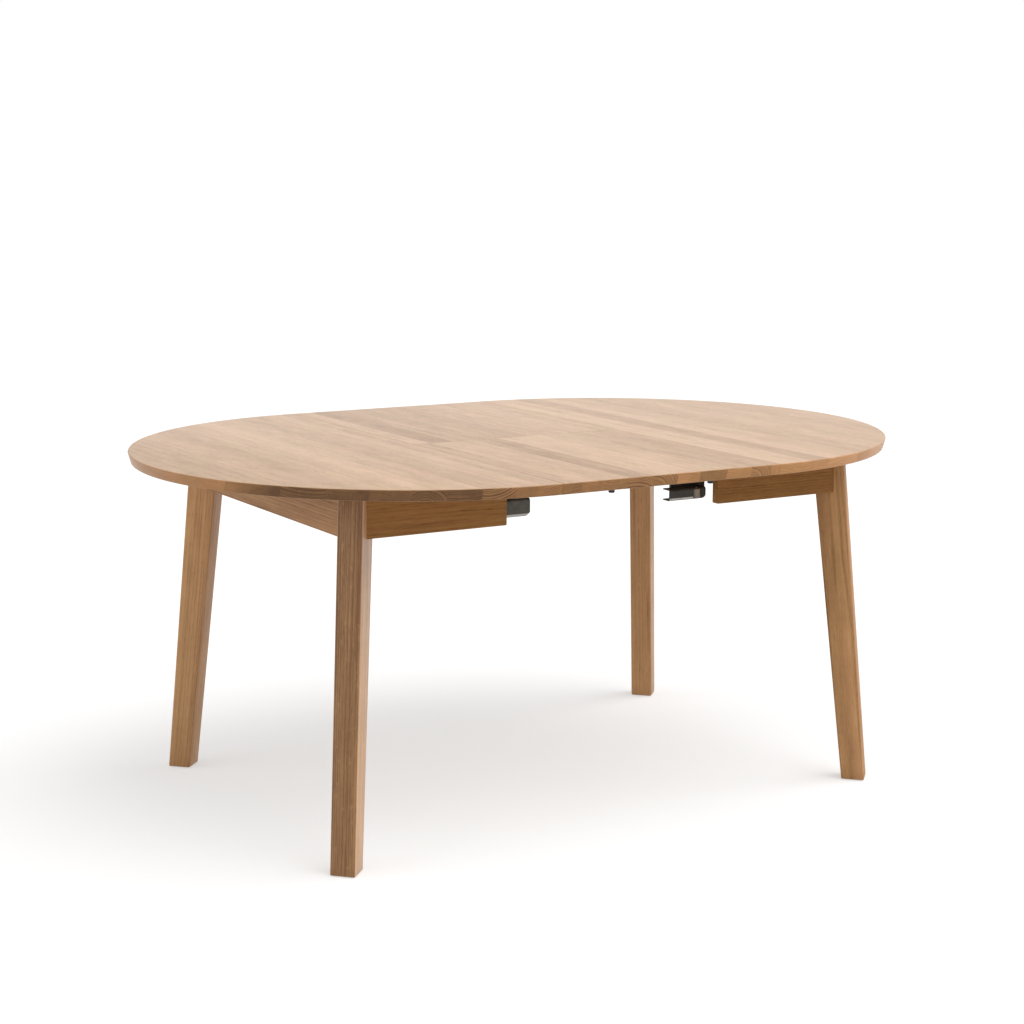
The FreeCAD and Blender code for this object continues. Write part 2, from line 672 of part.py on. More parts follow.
def runner_slides():
    """Nylon slides on the bar: two in the left rail and two in the right rail."""
    z0 = RAIL_BOTTOM + RAIL_STEEL + SLIDE_CLEARANCE
    z1 = RAIL_TOP - RAIL_STEEL - SLIDE_CLEARANCE
    left_y = -SIDE_APRON_INNER_Y + RAIL_STEEL + SCREW_HEAD_HEIGHT + SLIDE_CLEARANCE
    right_y = -RIGHT_RAIL_Y + RAIL_DEPTH - RAIL_STEEL - SLIDE_CLEARANCE
    slides = []
    for offset in (0.0, SLIDE_PITCH):
        x0 = -BAR_HALF_LENGTH + offset
        slides.append(box(x0, x0 + SLIDE_LENGTH, left_y, -BAR_Y, z0, z1))
        x1 = BAR_HALF_LENGTH - offset
        slides.append(box(x1 - SLIDE_LENGTH, x1, -BAR_Y + BAR_THICKNESS, right_y, z0, z1))
    return slides


def guide_shoe(pins):
    """C-shaped shoe on the bar, with a window where the roller reaches the aprons."""
    y_mouth = -BAR_Y + (BAR_THICKNESS - HANGER_THICKNESS) / 2
    y_web = y_mouth - SHOE_DEPTH
    top = SHOE_BOTTOM + SHOE_HEIGHT
    shoe = channel_section(y_web, y_mouth, SHOE_BOTTOM, SHOE_HEIGHT, SHOE_STEEL, SHOE_START_X, SHOE_END_X)
    half = ROLLER_WINDOW / 2
    window_z0 = SHOE_BOTTOM + SHOE_STEEL
    window_z1 = top - SHOE_STEEL
    web_inner = y_web + SHOE_STEEL
    shoe = shoe.cut(box(ROLLER_X - half, ROLLER_X + half, y_web - 1, web_inner, window_z0, window_z1))
    shoe = shoe.cut(end_corner(SHOE_END_X, SHOE_BOTTOM, SHOE_CHAMFER, y_web, SHOE_DEPTH))
    return drilled(shoe, pins)


def bored(diameter, start, direction, length):
    """A round bar with a running bore for a pin."""
    bore = rod(PIN_DIAMETER + 2 * BORE_CLEARANCE, start, direction, length)
    return rod(diameter, start, direction, length).cut(bore)


def guide_roller():
    """Nylon roller inside the shoe, upright axis."""
    z0 = SHOE_BOTTOM + SHOE_STEEL + SLIDE_CLEARANCE
    height = SHOE_HEIGHT - 2 * (SHOE_STEEL + SLIDE_CLEARANCE)
    return bored(ROLLER_DIAMETER, (ROLLER_X, roller_y(), z0), (0, 0, 1), height)


def channel_wheel():
    """Nylon wheel on the bar's hanger, inside the guide channel."""
    return bored(WHEEL_DIAMETER, (WHEEL_X, wheel_y(), CHANNEL_MIDDLE_Z), (0, 1, 0), WHEEL_WIDTH)


# ---------------------------------------------------------------- the nodes

def half_frame_nodes(tongue_places, rail_maker, with_channel):
    """Every node of one half, built at the left; the right half is then mirrored into its place."""
    nodes = {}
    batten_start = BATTEN_APRON_GAP - END_APRON_INNER_X
    battens, batten_screws = battens_and_screws(batten_start, -SEAM_X - BATTEN_MARGIN, (-BATTEN_Y, BATTEN_Y))
    tongues, tongue_screws = seam_tongues(tongue_places)
    clips, clip_screws = top_clips()
    rail, rail_screws = rail_maker()
    side_screws = bracket_screws() + rail_screws
    if with_channel:
        channel, channel_screws = guide_channel()
        side_screws += channel_screws
        nodes["front_guide_channel"] = channel
        nodes["back_guide_channel"] = mirror_y(channel)
    wood_screws = tongue_screws + clip_screws + side_screws + [mirror_y(item) for item in side_screws]
    bolt = hanger_bolt()
    front_leg = drilled(leg(), [bolt])
    bracket = drilled(corner_bracket(), side_screws + [bolt])
    apron = drilled(front_apron(), side_screws)
    nodes["top"] = drilled(half_top(), wood_screws + batten_screws)
    nodes["end_apron"] = drilled(end_apron(), wood_screws)
    nodes["front_apron"] = apron
    nodes["back_apron"] = mirror_y(apron)
    nodes["front_leg"] = front_leg
    nodes["back_leg"] = mirror_y(front_leg)
    nodes["foot_glides"] = group([foot_glide(), mirror_y(foot_glide())])
    nodes["corner_brackets"] = group([bracket, mirror_y(bracket)])
    nodes["hanger_bolts"] = group([bolt, mirror_y(bolt)])
    nodes["leg_nuts"] = group([leg_nut(), mirror_y(leg_nut())])
    nodes["top_clips"] = group(clips)
    nodes["battens"] = group(battens)
    nodes["batten_screws"] = group(batten_screws)
    nodes["seam_tongues"] = group(tongues)
    nodes["front_rail"] = rail
    nodes["back_rail"] = mirror_y(rail)
    nodes["wood_screws"] = group(wood_screws)
    return nodes


def right_rail_at_left():
    """The right rail, mirrored to the left so that it can be built with the left half."""
    rail, screws = right_rail()
    return mirror_x(rail), [mirror_x(item) for item in screws]


def runner_nodes():
    """Every node of the front middle bar; the back one is its mirror image."""
    pins = runner_pins()
    return {
        "runner_bar": runner_bar(pins),
        "runner_slides": group(runner_slides()),
        "guide_shoe": guide_shoe(pins),
        "guide_roller": guide_roller(),
        "channel_wheel": channel_wheel(),
        "runner_pins": group(pins),
    }


def leaf_nodes():
    """Every node of the leaf: the back half is the front one's mirror image but for its hinges."""
    reach = SEAM_X - BATTEN_MARGIN
    battens, screws = battens_and_screws(-reach, reach, (-BATTEN_Y,))
    front = {
        "board": leaf_half().cut(fold_barrels() + screws),
        "batten": battens[0],
        "batten_screws": group(screws),
        "buffers": group(leaf_buffers()),
    }
    nodes = {"leaf_front_" + name: shape for name, shape in front.items()}
    nodes.update({"leaf_back_" + name: mirror_y(shape) for name, shape in front.items()})
    nodes["leaf_front_fold_hinges"] = group(front_fold_hinges())
    nodes["leaf_back_fold_hinges"] = group(back_fold_hinges())
    return nodes


def all_nodes():
    """Every node of the table, by name."""
    nodes = {}
    left_end = HALF_TOP_RADIUS - LEFT_TONGUE_INSET
    right_end = HALF_TOP_RADIUS - RIGHT_TONGUE_INSET
    left_tongues = (-left_end, 0.0, left_end)
    right_tongues = (-right_end, RIGHT_TONGUE_SHIFT, right_end)
    for name, shape in half_frame_nodes(left_tongues, left_rail, True).items():
        nodes["left_" + name] = shape
    for name, shape in half_frame_nodes(right_tongues, right_rail_at_left, False).items():
        nodes["right_" + name] = mirror_x(shape)
    for name, shape in runner_nodes().items():
        nodes["front_" + name] = shape
        nodes["back_" + name] = mirror_y(shape)
    nodes.update(leaf_nodes())
    return nodes


os.makedirs("parts", exist_ok=True)
for node_name, node_shape in all_nodes().items():
    node_shape.exportStep(os.path.join("parts", node_name + ".step"))
    print(node_name, len(node_shape.Solids), round(node_shape.Volume / 1000.0, 2), "cm3")
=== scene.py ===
"""Extension table of oiled oak: two half-round tops on splayed legs, steel runners, one folding leaf.

Lengths are in metres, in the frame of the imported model: X along the table, front at -Y, floor at Z = 0.
"""

import bmesh
import bpy
import math
import numpy as np
from mathutils import Matrix, Vector


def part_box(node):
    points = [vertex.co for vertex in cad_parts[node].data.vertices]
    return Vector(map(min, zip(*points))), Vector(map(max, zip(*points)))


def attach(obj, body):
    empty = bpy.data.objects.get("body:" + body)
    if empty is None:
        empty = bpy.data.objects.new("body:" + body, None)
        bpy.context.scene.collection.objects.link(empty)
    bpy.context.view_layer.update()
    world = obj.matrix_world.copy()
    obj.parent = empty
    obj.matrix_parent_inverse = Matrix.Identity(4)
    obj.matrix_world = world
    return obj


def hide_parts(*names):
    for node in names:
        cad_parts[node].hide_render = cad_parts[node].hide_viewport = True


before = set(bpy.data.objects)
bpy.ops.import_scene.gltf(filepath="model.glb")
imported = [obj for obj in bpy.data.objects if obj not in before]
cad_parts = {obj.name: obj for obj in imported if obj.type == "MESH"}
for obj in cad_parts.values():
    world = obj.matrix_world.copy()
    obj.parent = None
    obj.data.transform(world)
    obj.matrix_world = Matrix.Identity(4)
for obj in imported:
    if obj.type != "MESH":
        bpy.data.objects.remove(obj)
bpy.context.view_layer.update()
SIDES = {"left": -1, "right": 1}
BENCHES = {"front": -1, "back": 1}


# ---- oak legs
# Four legs of solid oak, 50 mm across the diagonal of the table and tapering along it from 65 to 49 mm.
# They splay outward, their corners are eased to 3.5 mm and the arris at the floor is broken.
# Each is pulled against its two aprons by a hanger bolt.

LEG_WIDTH = 0.050
LEG_DEPTH_TOP = 0.065
LEG_DEPTH_FOOT = 0.049
LEG_CORNER = 0.0035
LEG_TOP_PLACE = (0.560, 0.353)
LEG_FOOT_PLACE = (0.614, 0.407)
LEG_FOOT_ARRIS = 0.002
LEG_ROWS = 12
LEG_FIRST_ROW = 0.03
LEG_LIGHT = (0.740, 0.415, 0.200)
LEG_DARK = (0.200, 0.092, 0.034)
LEG_FIGURE = {"Rings": 0.22, "Streaks": 0.60, "Fibres": 0.45, "Short": 1.0, "End rings": 0.30}
LEG_SHINE = 0.32
# For each leg, the tones of its faces across the diagonal and of those along it, then how much they reflect.
# These differ from leg to leg as painted shade, painted light and a painted sheen, for how much light and
# glare each leg's faces catch, on top of the wood's own tone.
LEG_FACE_PAINTED_LIGHT = {"left_front_leg": (0.76, 0.24, 0.35, 1.0), "left_back_leg": (0.15, 0.22, 0.15, 0.15),
             "right_front_leg": (0.38, 0.32, 0.01, 0.01), "right_back_leg": (0.10, 0.45, 0.20, 0.20)}
LEG_PITH_DEEP = (-0.05, 0.05)
LEG_PITH_ASIDE = (0.05, 0.12)

# Oak: features to a metre across, through and along the grain. Rays are counted round the pith first.
DRIFT_PACE = (5.0, 5.0, 0.9)
PORE_PACE = (1300.0, 1300.0, 48.0)
FIBRE_PACE = (520.0, 520.0, 11.0)
STREAK_PACE = (48.0, 48.0, 1.7)
VEIN_PACE = (90.0, 90.0, 2.4)
RAY_PACE = (70.0, 26.0, 60.0)
BLOTCH_PACE = (34.0, 34.0, 12.0)
WARMTH_PACE = (23.0, 23.0, 1.1)
PORE_EDGE = (0.56, 0.68)
VEIN_EDGE = (0.60, 0.72)
RAY_EDGE = (0.63, 0.74)
WARMTH_EDGE = (0.35, 0.65)
DRIFT_REACH = (0.022, 0.022, 0.0)
RINGS_PER_METRE = 215.0
GOOD_YEARS_PER_METRE = 55.0
GOOD_YEARS_REACH = 4.0
SEASON = ((0.0, 0.75), (0.10, 1.0), (0.42, 0.28), (0.88, 0.04), (1.0, 0.75))
EARLY_MEAN = 0.35
PORE_EARLY = 0.75
PORE_LATE = 0.50
PORE_CONTRAST = 0.30
VEIN_SHARE = 0.37
RAY_CONTRAST = 0.14
BLOTCH_CONTRAST = 0.34
COOL_TINT = (0.985, 1.0, 0.955)
WARM_TINT = (1.015, 0.985, 1.015)
OAK_SPECULAR = 0.2
OAK_BUMP = 0.35
OAK_BUMP_HEIGHT = 0.0003
DARK_ROUGHNESS = 0.12
FIBRE_RELIEF = 0.35
EARLY_RELIEF = 0.25
END_TONE = 0.3
PITH_REACH = 0.16
STAVE_ONWARD = 9.0
STAVE_CHANCE = 7.0
SHARP_ANGLE = math.radians(35.0)


def add_node(tree, kind, inputs=(), **settings):
    """A shader node with its settings, and its inputs given as numbers or as other nodes' outputs."""
    node = tree.nodes.new("ShaderNode" + kind)
    for name, value in settings.items():
        setattr(node, name, value)
    for key, value in dict(inputs).items():
        if isinstance(value, bpy.types.NodeSocket):
            tree.links.new(value, node.inputs[key])
        else:
            node.inputs[key].default_value = value
    return node


def calc(tree, operation, first, second=0.0, clamp=False):
    """The result of one arithmetic step between numbers or outputs."""
    return add_node(tree, "Math", {0: first, 1: second}, operation=operation, use_clamp=clamp).outputs[0]


def vector(tree, operation, first, second=(0.0, 0.0, 0.0)):
    """The result of one step between vectors or outputs: a number for a length or a dot product."""
    outputs = add_node(tree, "VectorMath", {0: first, 1: second}, operation=operation).outputs
    return outputs["Value" if operation in ("LENGTH", "DOT_PRODUCT") else "Vector"]


def remap(tree, value, low, high, start=0.0, end=1.0):
    """The value carried from low..high to start..end, and held at both ends."""
    return add_node(tree, "MapRange", {0: value, 1: low, 2: high, 3: start, 4: end}).outputs[0]


def mix(tree, share, first, second):
    """A share of the way from the first number to the second."""
    return add_node(tree, "Mix", {0: share, 2: first, 3: second}).outputs[0]


def blend(tree, share, first, second, way="MIX"):
    """A share of the way from the first colour to the second."""
    given = {0: share, 6: first, 7: second}
    return add_node(tree, "Mix", given, data_type="RGBA", blend_type=way).outputs[2]


def noise(tree, place, pace, detail=2.0, output="Fac"):
    """Noise in 0..1 with as many features to a metre along each axis as pace says."""
    scaled = vector(tree, "MULTIPLY", place, pace)
    field = add_node(tree, "TexNoise", {"Vector": scaled, "Scale": 1.0, "Detail": detail, "Roughness": 0.55})
    return field.outputs[output]


def ramp(tree, value, stops, interpolation="LINEAR"):
    """Colour and alpha of a curve through (place, colour) stops, read at value."""
    node = add_node(tree, "ValToRGB", {0: value})
    node.color_ramp.interpolation = interpolation
    elements = node.color_ramp.elements
    while len(elements) > 1:
        elements.remove(elements[-1])
    elements[0].position = stops[0][0]
    elements[0].color = (*stops[0][1], 1.0)[:4]
    for place, colour in stops[1:]:
        elements.new(place).color = (*colour, 1.0)[:4]
    return node.outputs


def new_material(name):
    """A material with its node tree and its one Principled shader."""
    material = bpy.data.materials.new(name)
    material.use_nodes = True
    return material, material.node_tree, material.node_tree.nodes["Principled BSDF"]


def oak_group():
    """Oak as a solid: growth rings round the pith, pores in the early wood, fibres, rays and slow streaks.

    Grain is a place in metres, as (across, through, along) from the pith. The ring count is the distance
    from the pith over the ring width, bent by slow noise, and its fraction gives early and late wood.
    Rings, Streaks and Fibres are contrasts, and Short makes the streaks that many times shorter.
    """
    tree = bpy.data.node_groups.new("oak_wood", "ShaderNodeTree")
    for name, kind in (("Grain", "Vector"), ("Tone", "Float"), ("Light", "Color"), ("Dark", "Color"),
                       ("Rings", "Float"), ("Streaks", "Float"), ("Fibres", "Float"), ("Short", "Float")):
        tree.interface.new_socket(name, in_out="INPUT", socket_type="NodeSocket" + kind)
    for name, kind in (("Color", "Color"), ("Roughness", "Float"), ("Height", "Float")):
        tree.interface.new_socket(name, in_out="OUTPUT", socket_type="NodeSocket" + kind)
    given = tree.nodes.new("NodeGroupInput").outputs
    grain = given["Grain"]
    drift = vector(tree, "SUBTRACT", noise(tree, grain, DRIFT_PACE, output="Color"), (0.5, 0.5, 0.5))
    bent = vector(tree, "ADD", grain, vector(tree, "MULTIPLY", drift, DRIFT_REACH))
    parts = add_node(tree, "SeparateXYZ", {0: bent}).outputs
    radius = vector(tree, "LENGTH", vector(tree, "MULTIPLY", bent, (1.0, 1.0, 0.0)))
    outward = calc(tree, "MULTIPLY", radius, GOOD_YEARS_PER_METRE)
    years = add_node(tree, "CombineXYZ", {0: outward}).outputs[0]
    good_years = calc(tree, "MULTIPLY", noise(tree, years, (1.0, 1.0, 1.0), 1.0), GOOD_YEARS_REACH)
    count = calc(tree, "ADD", calc(tree, "MULTIPLY", radius, RINGS_PER_METRE), good_years)
    season = calc(tree, "FRACT", count)
    early = ramp(tree, season, [(place, (level,) * 3) for place, level in SEASON])[0]
    pore = remap(tree, noise(tree, grain, PORE_PACE, 1.5), *PORE_EDGE)
    crowding = calc(tree, "ADD", calc(tree, "MULTIPLY", early, PORE_EARLY), PORE_LATE)
    pore = calc(tree, "MULTIPLY", pore, crowding)
    pace = add_node(tree, "CombineXYZ", {0: 1.0, 1: 1.0, 2: given["Short"]}).outputs[0]
    short = vector(tree, "MULTIPLY", grain, pace)
    fibre = calc(tree, "SUBTRACT", noise(tree, short, FIBRE_PACE, 3.0), 0.5)
    streak = calc(tree, "SUBTRACT", noise(tree, short, STREAK_PACE, 3.0), 0.5)
    vein = remap(tree, noise(tree, short, VEIN_PACE), *VEIN_EDGE)
    turn = calc(tree, "ARCTAN2", parts[1], parts[0])
    ray_place = add_node(tree, "CombineXYZ", {0: turn, 1: radius, 2: parts[2]}).outputs[0]
    ray = remap(tree, noise(tree, ray_place, RAY_PACE, 1.0), *RAY_EDGE)
    blotch = calc(tree, "SUBTRACT", noise(tree, grain, BLOTCH_PACE), 0.5)
    dark = given["Tone"]
    rings = calc(tree, "SUBTRACT", early, EARLY_MEAN)
    veins = calc(tree, "MULTIPLY", given["Streaks"], VEIN_SHARE)
    for amount, contrast in ((rings, given["Rings"]), (pore, PORE_CONTRAST), (fibre, given["Fibres"]),
                             (streak, given["Streaks"]), (vein, veins), (blotch, BLOTCH_CONTRAST)):
        dark = calc(tree, "ADD", dark, calc(tree, "MULTIPLY", amount, contrast))
    dark = calc(tree, "SUBTRACT", dark, calc(tree, "MULTIPLY", ray, RAY_CONTRAST), clamp=True)
    warmth = remap(tree, noise(tree, short, WARMTH_PACE), *WARMTH_EDGE)
    tint = ramp(tree, warmth, ((0.0, COOL_TINT), (1.0, WARM_TINT)))[0]
    colour = blend(tree, 1.0, blend(tree, dark, given["Light"], given["Dark"]), tint, "MULTIPLY")
    out = tree.nodes.new("NodeGroupOutput")
    tree.links.new(colour, out.inputs["Color"])
    tree.links.new(calc(tree, "MULTIPLY", dark, DARK_ROUGHNESS), out.inputs["Roughness"])
    high = calc(tree, "SUBTRACT", calc(tree, "MULTIPLY", fibre, FIBRE_RELIEF), pore)
    high = calc(tree, "SUBTRACT", high, calc(tree, "MULTIPLY", early, EARLY_RELIEF))
    tree.links.new(high, out.inputs["Height"])
    return tree


OAK = oak_group()


def oak(name, axes, pith, light, dark, shine, figure, tone=0.0, side_painted_light=None, specular=OAK_SPECULAR,
        side_painted_sheen=None, staves=None, end_light=None):
    """Oiled oak: grain runs along the third of axes, round a pith at a place; shine is its least roughness.

    tone is how dark its faces are and specular how much they reflect; the side tone and side reflection are
    the same for the faces along the second of axes. On the legs both pairs carry painted shade, painted
    light and a painted sheen, for how light falls on each face. end_light is the light colour of its edges.
    staves is a span along X and a list of (share of the span, card); a card holds the place of that
    stave's pith across and through, its tone, and the tone of its end grain.
    """
    material, tree, shader = new_material(name)
    shader.inputs["Specular IOR Level"].default_value = specular
    place = add_node(tree, "TexCoord").outputs["Object"]
    mapping = add_node(tree, "Mapping", {0: place}, vector_type="POINT")
    mapping.inputs["Rotation"].default_value = Matrix(axes).to_euler("XYZ")
    mapping.inputs["Location"].default_value = Matrix(axes) @ Vector(pith) * -1.0
    grain = mapping.outputs[0]
    end_tone = END_TONE
    end_rings = figure["End rings"]
    if staves:
        span_start, span_end, stops = staves
        along = add_node(tree, "SeparateXYZ", {0: grain}).outputs[0]
        card = ramp(tree, remap(tree, along, span_start, span_end), stops, "CONSTANT")
        seeds = add_node(tree, "SeparateColor", {0: card[0]}).outputs
        across = remap(tree, seeds[0], 0.0, 1.0, span_start, span_end)
        through = remap(tree, seeds[1], 0.0, 1.0, -PITH_REACH, PITH_REACH)
        onward = calc(tree, "MULTIPLY", seeds[1], STAVE_ONWARD)
        shift = add_node(tree, "CombineXYZ", {0: across, 1: through, 2: onward}).outputs[0]
        grain = vector(tree, "SUBTRACT", grain, shift)
        tone = seeds[2]
        end_tone = card[1]
        chance = calc(tree, "FRACT", calc(tree, "MULTIPLY", seeds[1], STAVE_CHANCE))
        end_rings = calc(tree, "MULTIPLY", chance, 2.0 * end_rings)
    normal = add_node(tree, "TexCoord").outputs["Normal"]
    facing = calc(tree, "ABSOLUTE", vector(tree, "DOT_PRODUCT", normal, axes[2]))
    sideways = calc(tree, "ABSOLUTE", vector(tree, "DOT_PRODUCT", normal, axes[1]))
    edge = calc(tree, "SQRT", calc(tree, "SUBTRACT", 1.0001, calc(tree, "MULTIPLY", sideways, sideways)))
    rim = remap(tree, sideways, 0.85, 0.50)
    end = calc(tree, "MULTIPLY", remap(tree, calc(tree, "DIVIDE", facing, edge), 0.38, 0.60), rim)
    # On the legs, the faces along the second axis get their own tone and reflection: painted light and shade
    # and a painted sheen.
    if side_painted_light is not None:
        side = remap(tree, sideways, 0.55, 0.90)
        tone = mix(tree, side, tone, side_painted_light)
        tree.links.new(mix(tree, side, specular, side_painted_sheen), shader.inputs["Specular IOR Level"])
    wood = tree.nodes.new("ShaderNodeGroup")
    wood.node_tree = OAK
    tree.links.new(grain, wood.inputs["Grain"])
    tree.links.new(mix(tree, end, tone, end_tone), wood.inputs["Tone"])
    tree.links.new(mix(tree, end, figure["Rings"], end_rings), wood.inputs["Rings"])
    for trait in ("Streaks", "Fibres", "Short"):
        wood.inputs[trait].default_value = figure[trait]
    tree.links.new(blend(tree, rim, (*light, 1.0), (*(end_light or light), 1.0)), wood.inputs["Light"])
    wood.inputs["Dark"].default_value = (*dark, 1.0)
    tree.links.new(wood.outputs["Color"], shader.inputs["Base Color"])
    tree.links.new(calc(tree, "ADD", wood.outputs["Roughness"], shine), shader.inputs["Roughness"])
    relief = {"Height": wood.outputs["Height"], "Strength": OAK_BUMP, "Distance": OAK_BUMP_HEIGHT}
    tree.links.new(add_node(tree, "Bump", relief).outputs[0], shader.inputs["Normal"])
    return material


def add_piece(name, mesh, body, node, material):
    """Puts a mesh in the scene, smooth but for its sharp edges, riding on a body in place of a CAD node."""
    mesh.materials.clear()
    mesh.materials.append(material)
    mesh.polygons.foreach_set("use_smooth", np.ones(len(mesh.polygons), bool))
    mesh.set_sharp_from_angle(angle=SHARP_ANGLE)
    piece = bpy.data.objects.new(name, mesh)
    bpy.context.scene.collection.objects.link(piece)
    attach(piece, body)
    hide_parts(node)
    return piece


def make_piece(name, shape, body, node, material):
    """A piece from a closed shape, which is its points and its faces, with the faces turned outward."""
    points, faces = shape
    mesh = bpy.data.meshes.new(name)
    mesh.from_pydata(points.tolist(), [], [list(map(int, face)) for face in faces])
    work = bmesh.new()
    work.from_mesh(mesh)
    bmesh.ops.recalc_face_normals(work, faces=work.faces)
    work.to_mesh(mesh)
    work.free()
    return add_piece(name, mesh, body, node, material)


def tube(grid):
    """The shape of a grid whose rows close on themselves, with a face across its first and its last row."""
    place = np.arange(grid.shape[0] * grid.shape[1]).reshape(grid.shape[:2])
    beside = np.roll(place, -1, axis=1)
    quads = np.stack([place[:-1], beside[:-1], beside[1:], place[1:]], axis=-1).reshape(-1, 4)
    return grid.reshape(-1, 3), [*quads, place[0, ::-1], place[-1]]


def rounded_rectangle(half_width, half_height, radius, steps=6):
    """Plan outline with quarter-circle corners, anticlockwise: each corner's centre plus its arc."""
    angle = np.linspace(0.0, math.pi / 2, steps)
    arcs = []
    for quarter, (sign_x, sign_y) in enumerate(((1, 1), (-1, 1), (-1, -1), (1, -1))):
        swung = angle + quarter * math.pi / 2
        x = sign_x * (half_width - radius) + radius * np.cos(swung)
        y = sign_y * (half_height - radius) + radius * np.sin(swung)
        arcs.append(np.stack([x, y], axis=-1))
    return np.concatenate(arcs)


def leg_grid(sign_x, sign_y, foot, top):
    """Rows of the leg's section from floor to top: depth and place change evenly with height."""
    arris = LEG_FOOT_ARRIS * np.array([0.0, 0.3, 1.0])
    heights = np.concatenate([foot + arris, np.linspace(LEG_FIRST_ROW, top, LEG_ROWS)])
    insets = np.concatenate([arris[::-1], np.zeros(LEG_ROWS)])
    rows = []
    for height, inset in zip(heights, insets):
        share = (top - height) / top
        depth = LEG_DEPTH_TOP + (LEG_DEPTH_FOOT - LEG_DEPTH_TOP) * share
        section = rounded_rectangle(depth / 2 - inset, LEG_WIDTH / 2 - inset, LEG_CORNER - inset)
        along, side = section[:, 0], section[:, 1]
        centre = [start + (end - start) * share for start, end in zip(LEG_TOP_PLACE, LEG_FOOT_PLACE)]
        x = sign_x * (centre[0] + (along - side) / math.sqrt(2))
        y = sign_y * (centre[1] + (along + side) / math.sqrt(2))
        rows.append(np.stack([x, y, np.full_like(x, height)], axis=-1))
    return np.array(rows)


rng = np.random.default_rng(7)
for side, sign_x in SIDES.items():
    for bench, sign_y in BENCHES.items():
        node = f"{side}_{bench}_leg"
        low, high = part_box(node)
        grid = leg_grid(sign_x, sign_y, low.z, high.z)
        run = Vector((sign_x * (LEG_TOP_PLACE[0] - LEG_FOOT_PLACE[0]),
                      sign_y * (LEG_TOP_PLACE[1] - LEG_FOOT_PLACE[1]), high.z)).normalized()
        radial = Vector((sign_x, sign_y, 0.0)).normalized()
        radial = (radial - run * radial.dot(run)).normalized()
        tangent = run.cross(radial)
        pith = Vector((sign_x * LEG_TOP_PLACE[0], sign_y * LEG_TOP_PLACE[1], high.z))
        pith += radial * rng.uniform(*LEG_PITH_DEEP) + tangent * rng.uniform(*LEG_PITH_ASIDE)
        axes = (tuple(radial), tuple(tangent), tuple(run))
        # Each leg's faces get tones and reflection levels of their own, which hold painted shade, painted
        # light and a painted sheen.
        finish = oak(f"oak_{node}", axes, pith, LEG_LIGHT, LEG_DARK, LEG_SHINE, LEG_FIGURE, *LEG_FACE_PAINTED_LIGHT[node])
        make_piece(f"{node}_oak", tube(grid), f"{side}_half", node, finish)


# ---- foot glides
# A round brown plastic glide is let into the foot of each leg and stands 1.5 mm proud of the wood.
# It is moulded, with a soft edge where it meets the floor.

GLIDE_EDGE = ((0.0, 0.0084), (0.0004, 0.0094), (0.0012, 0.0099), (0.0020, 0.0100), (0.0040, 0.0100))


def turned(profile, start, axis, columns=40):
    """A turned surface: each (distance, radius) of the profile sweeps a circle about the axis from start."""
    along = np.asarray(axis, float)
    first = np.cross(along, (0.36, 0.48, 0.80))
    first = first / np.linalg.norm(first)
    second = np.cross(along, first)
    angle = np.linspace(0.0, 2 * math.pi, columns, endpoint=False)[:, None]
    circle = np.cos(angle) * first + np.sin(angle) * second
    distance, radius = np.asarray(profile).T
    return np.asarray(start) + distance[:, None, None] * along + radius[:, None, None] * circle


def cloudy(tree, shader, colour, spread, amount, low, high):
    """Gives a shader a colour that wanders by a share of itself as an amount goes from low to high."""
    dull = tuple(channel * (1 - spread) for channel in colour)
    bright = tuple(min(1.0, channel * (1 + spread)) for channel in colour)
    tree.links.new(ramp(tree, amount, ((low, dull), (high, bright)))[0], shader.inputs["Base Color"])


def uneven(tree, shader, field, roughness, spread, relief, strength):
    """Gives a shader a roughness that wanders with a noise field, and a fine relief 0.1 mm high."""
    rough = remap(tree, field, 0.3, 0.7, roughness - spread, roughness + spread)
    tree.links.new(rough, shader.inputs["Roughness"])
    bump = add_node(tree, "Bump", {"Height": relief, "Strength": strength, "Distance": 0.0001})
    tree.links.new(bump.outputs[0], shader.inputs["Normal"])


def moulded(name, colour, roughness, mottle=0.12):
    """Moulded plastic or rubber: a fine spark-eroded grain, faint flow marks and slightly uneven gloss."""
    material, tree, shader = new_material(name)
    place = add_node(tree, "TexCoord").outputs["Object"]
    flow = noise(tree, place, (160.0, 160.0, 60.0))
    cloudy(tree, shader, colour, mottle, flow, 0.3, 0.7)
    uneven(tree, shader, flow, roughness, 0.05, noise(tree, place, (2600.0, 2600.0, 2600.0)), 0.25)
    return material


def merged(shapes):
    """Several shapes as one."""
    points = []
    faces = []
    for shape_points, shape_faces in shapes:
        start = sum(len(block) for block in points)
        points.append(shape_points)
        faces += [[int(corner) + start for corner in face] for face in shape_faces]
    return np.concatenate(points), faces


GLIDE_PLASTIC = moulded("brown_glide_plastic", (0.18, 0.09, 0.05), 0.55)
for side in SIDES:
    node = f"{side}_foot_glides"
    low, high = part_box(node)
    radius = (high.x - low.x) / 2
    profile = [(distance, min(edge, radius)) for distance, edge in GLIDE_EDGE]
    pair = []
    for y in (low.y + radius, high.y - radius):
        centre = ((low.x + high.x) / 2, y, low.z)
        pair.append(tube(turned(profile, centre, (0, 0, 1))))
    make_piece(f"{side}_feet_glides", merged(pair), f"{side}_half", node, GLIDE_PLASTIC)


# ---- aprons
# Oak boards 88 by 20 mm under the tops: one across each end, and a short one at the front and the back of
# each half. Their ends are mitred to the legs' sides, and the side aprons stop where the half top stops.
# Their inner faces are planed 0.1 mm back, so that the steel runs past them when the table closes.

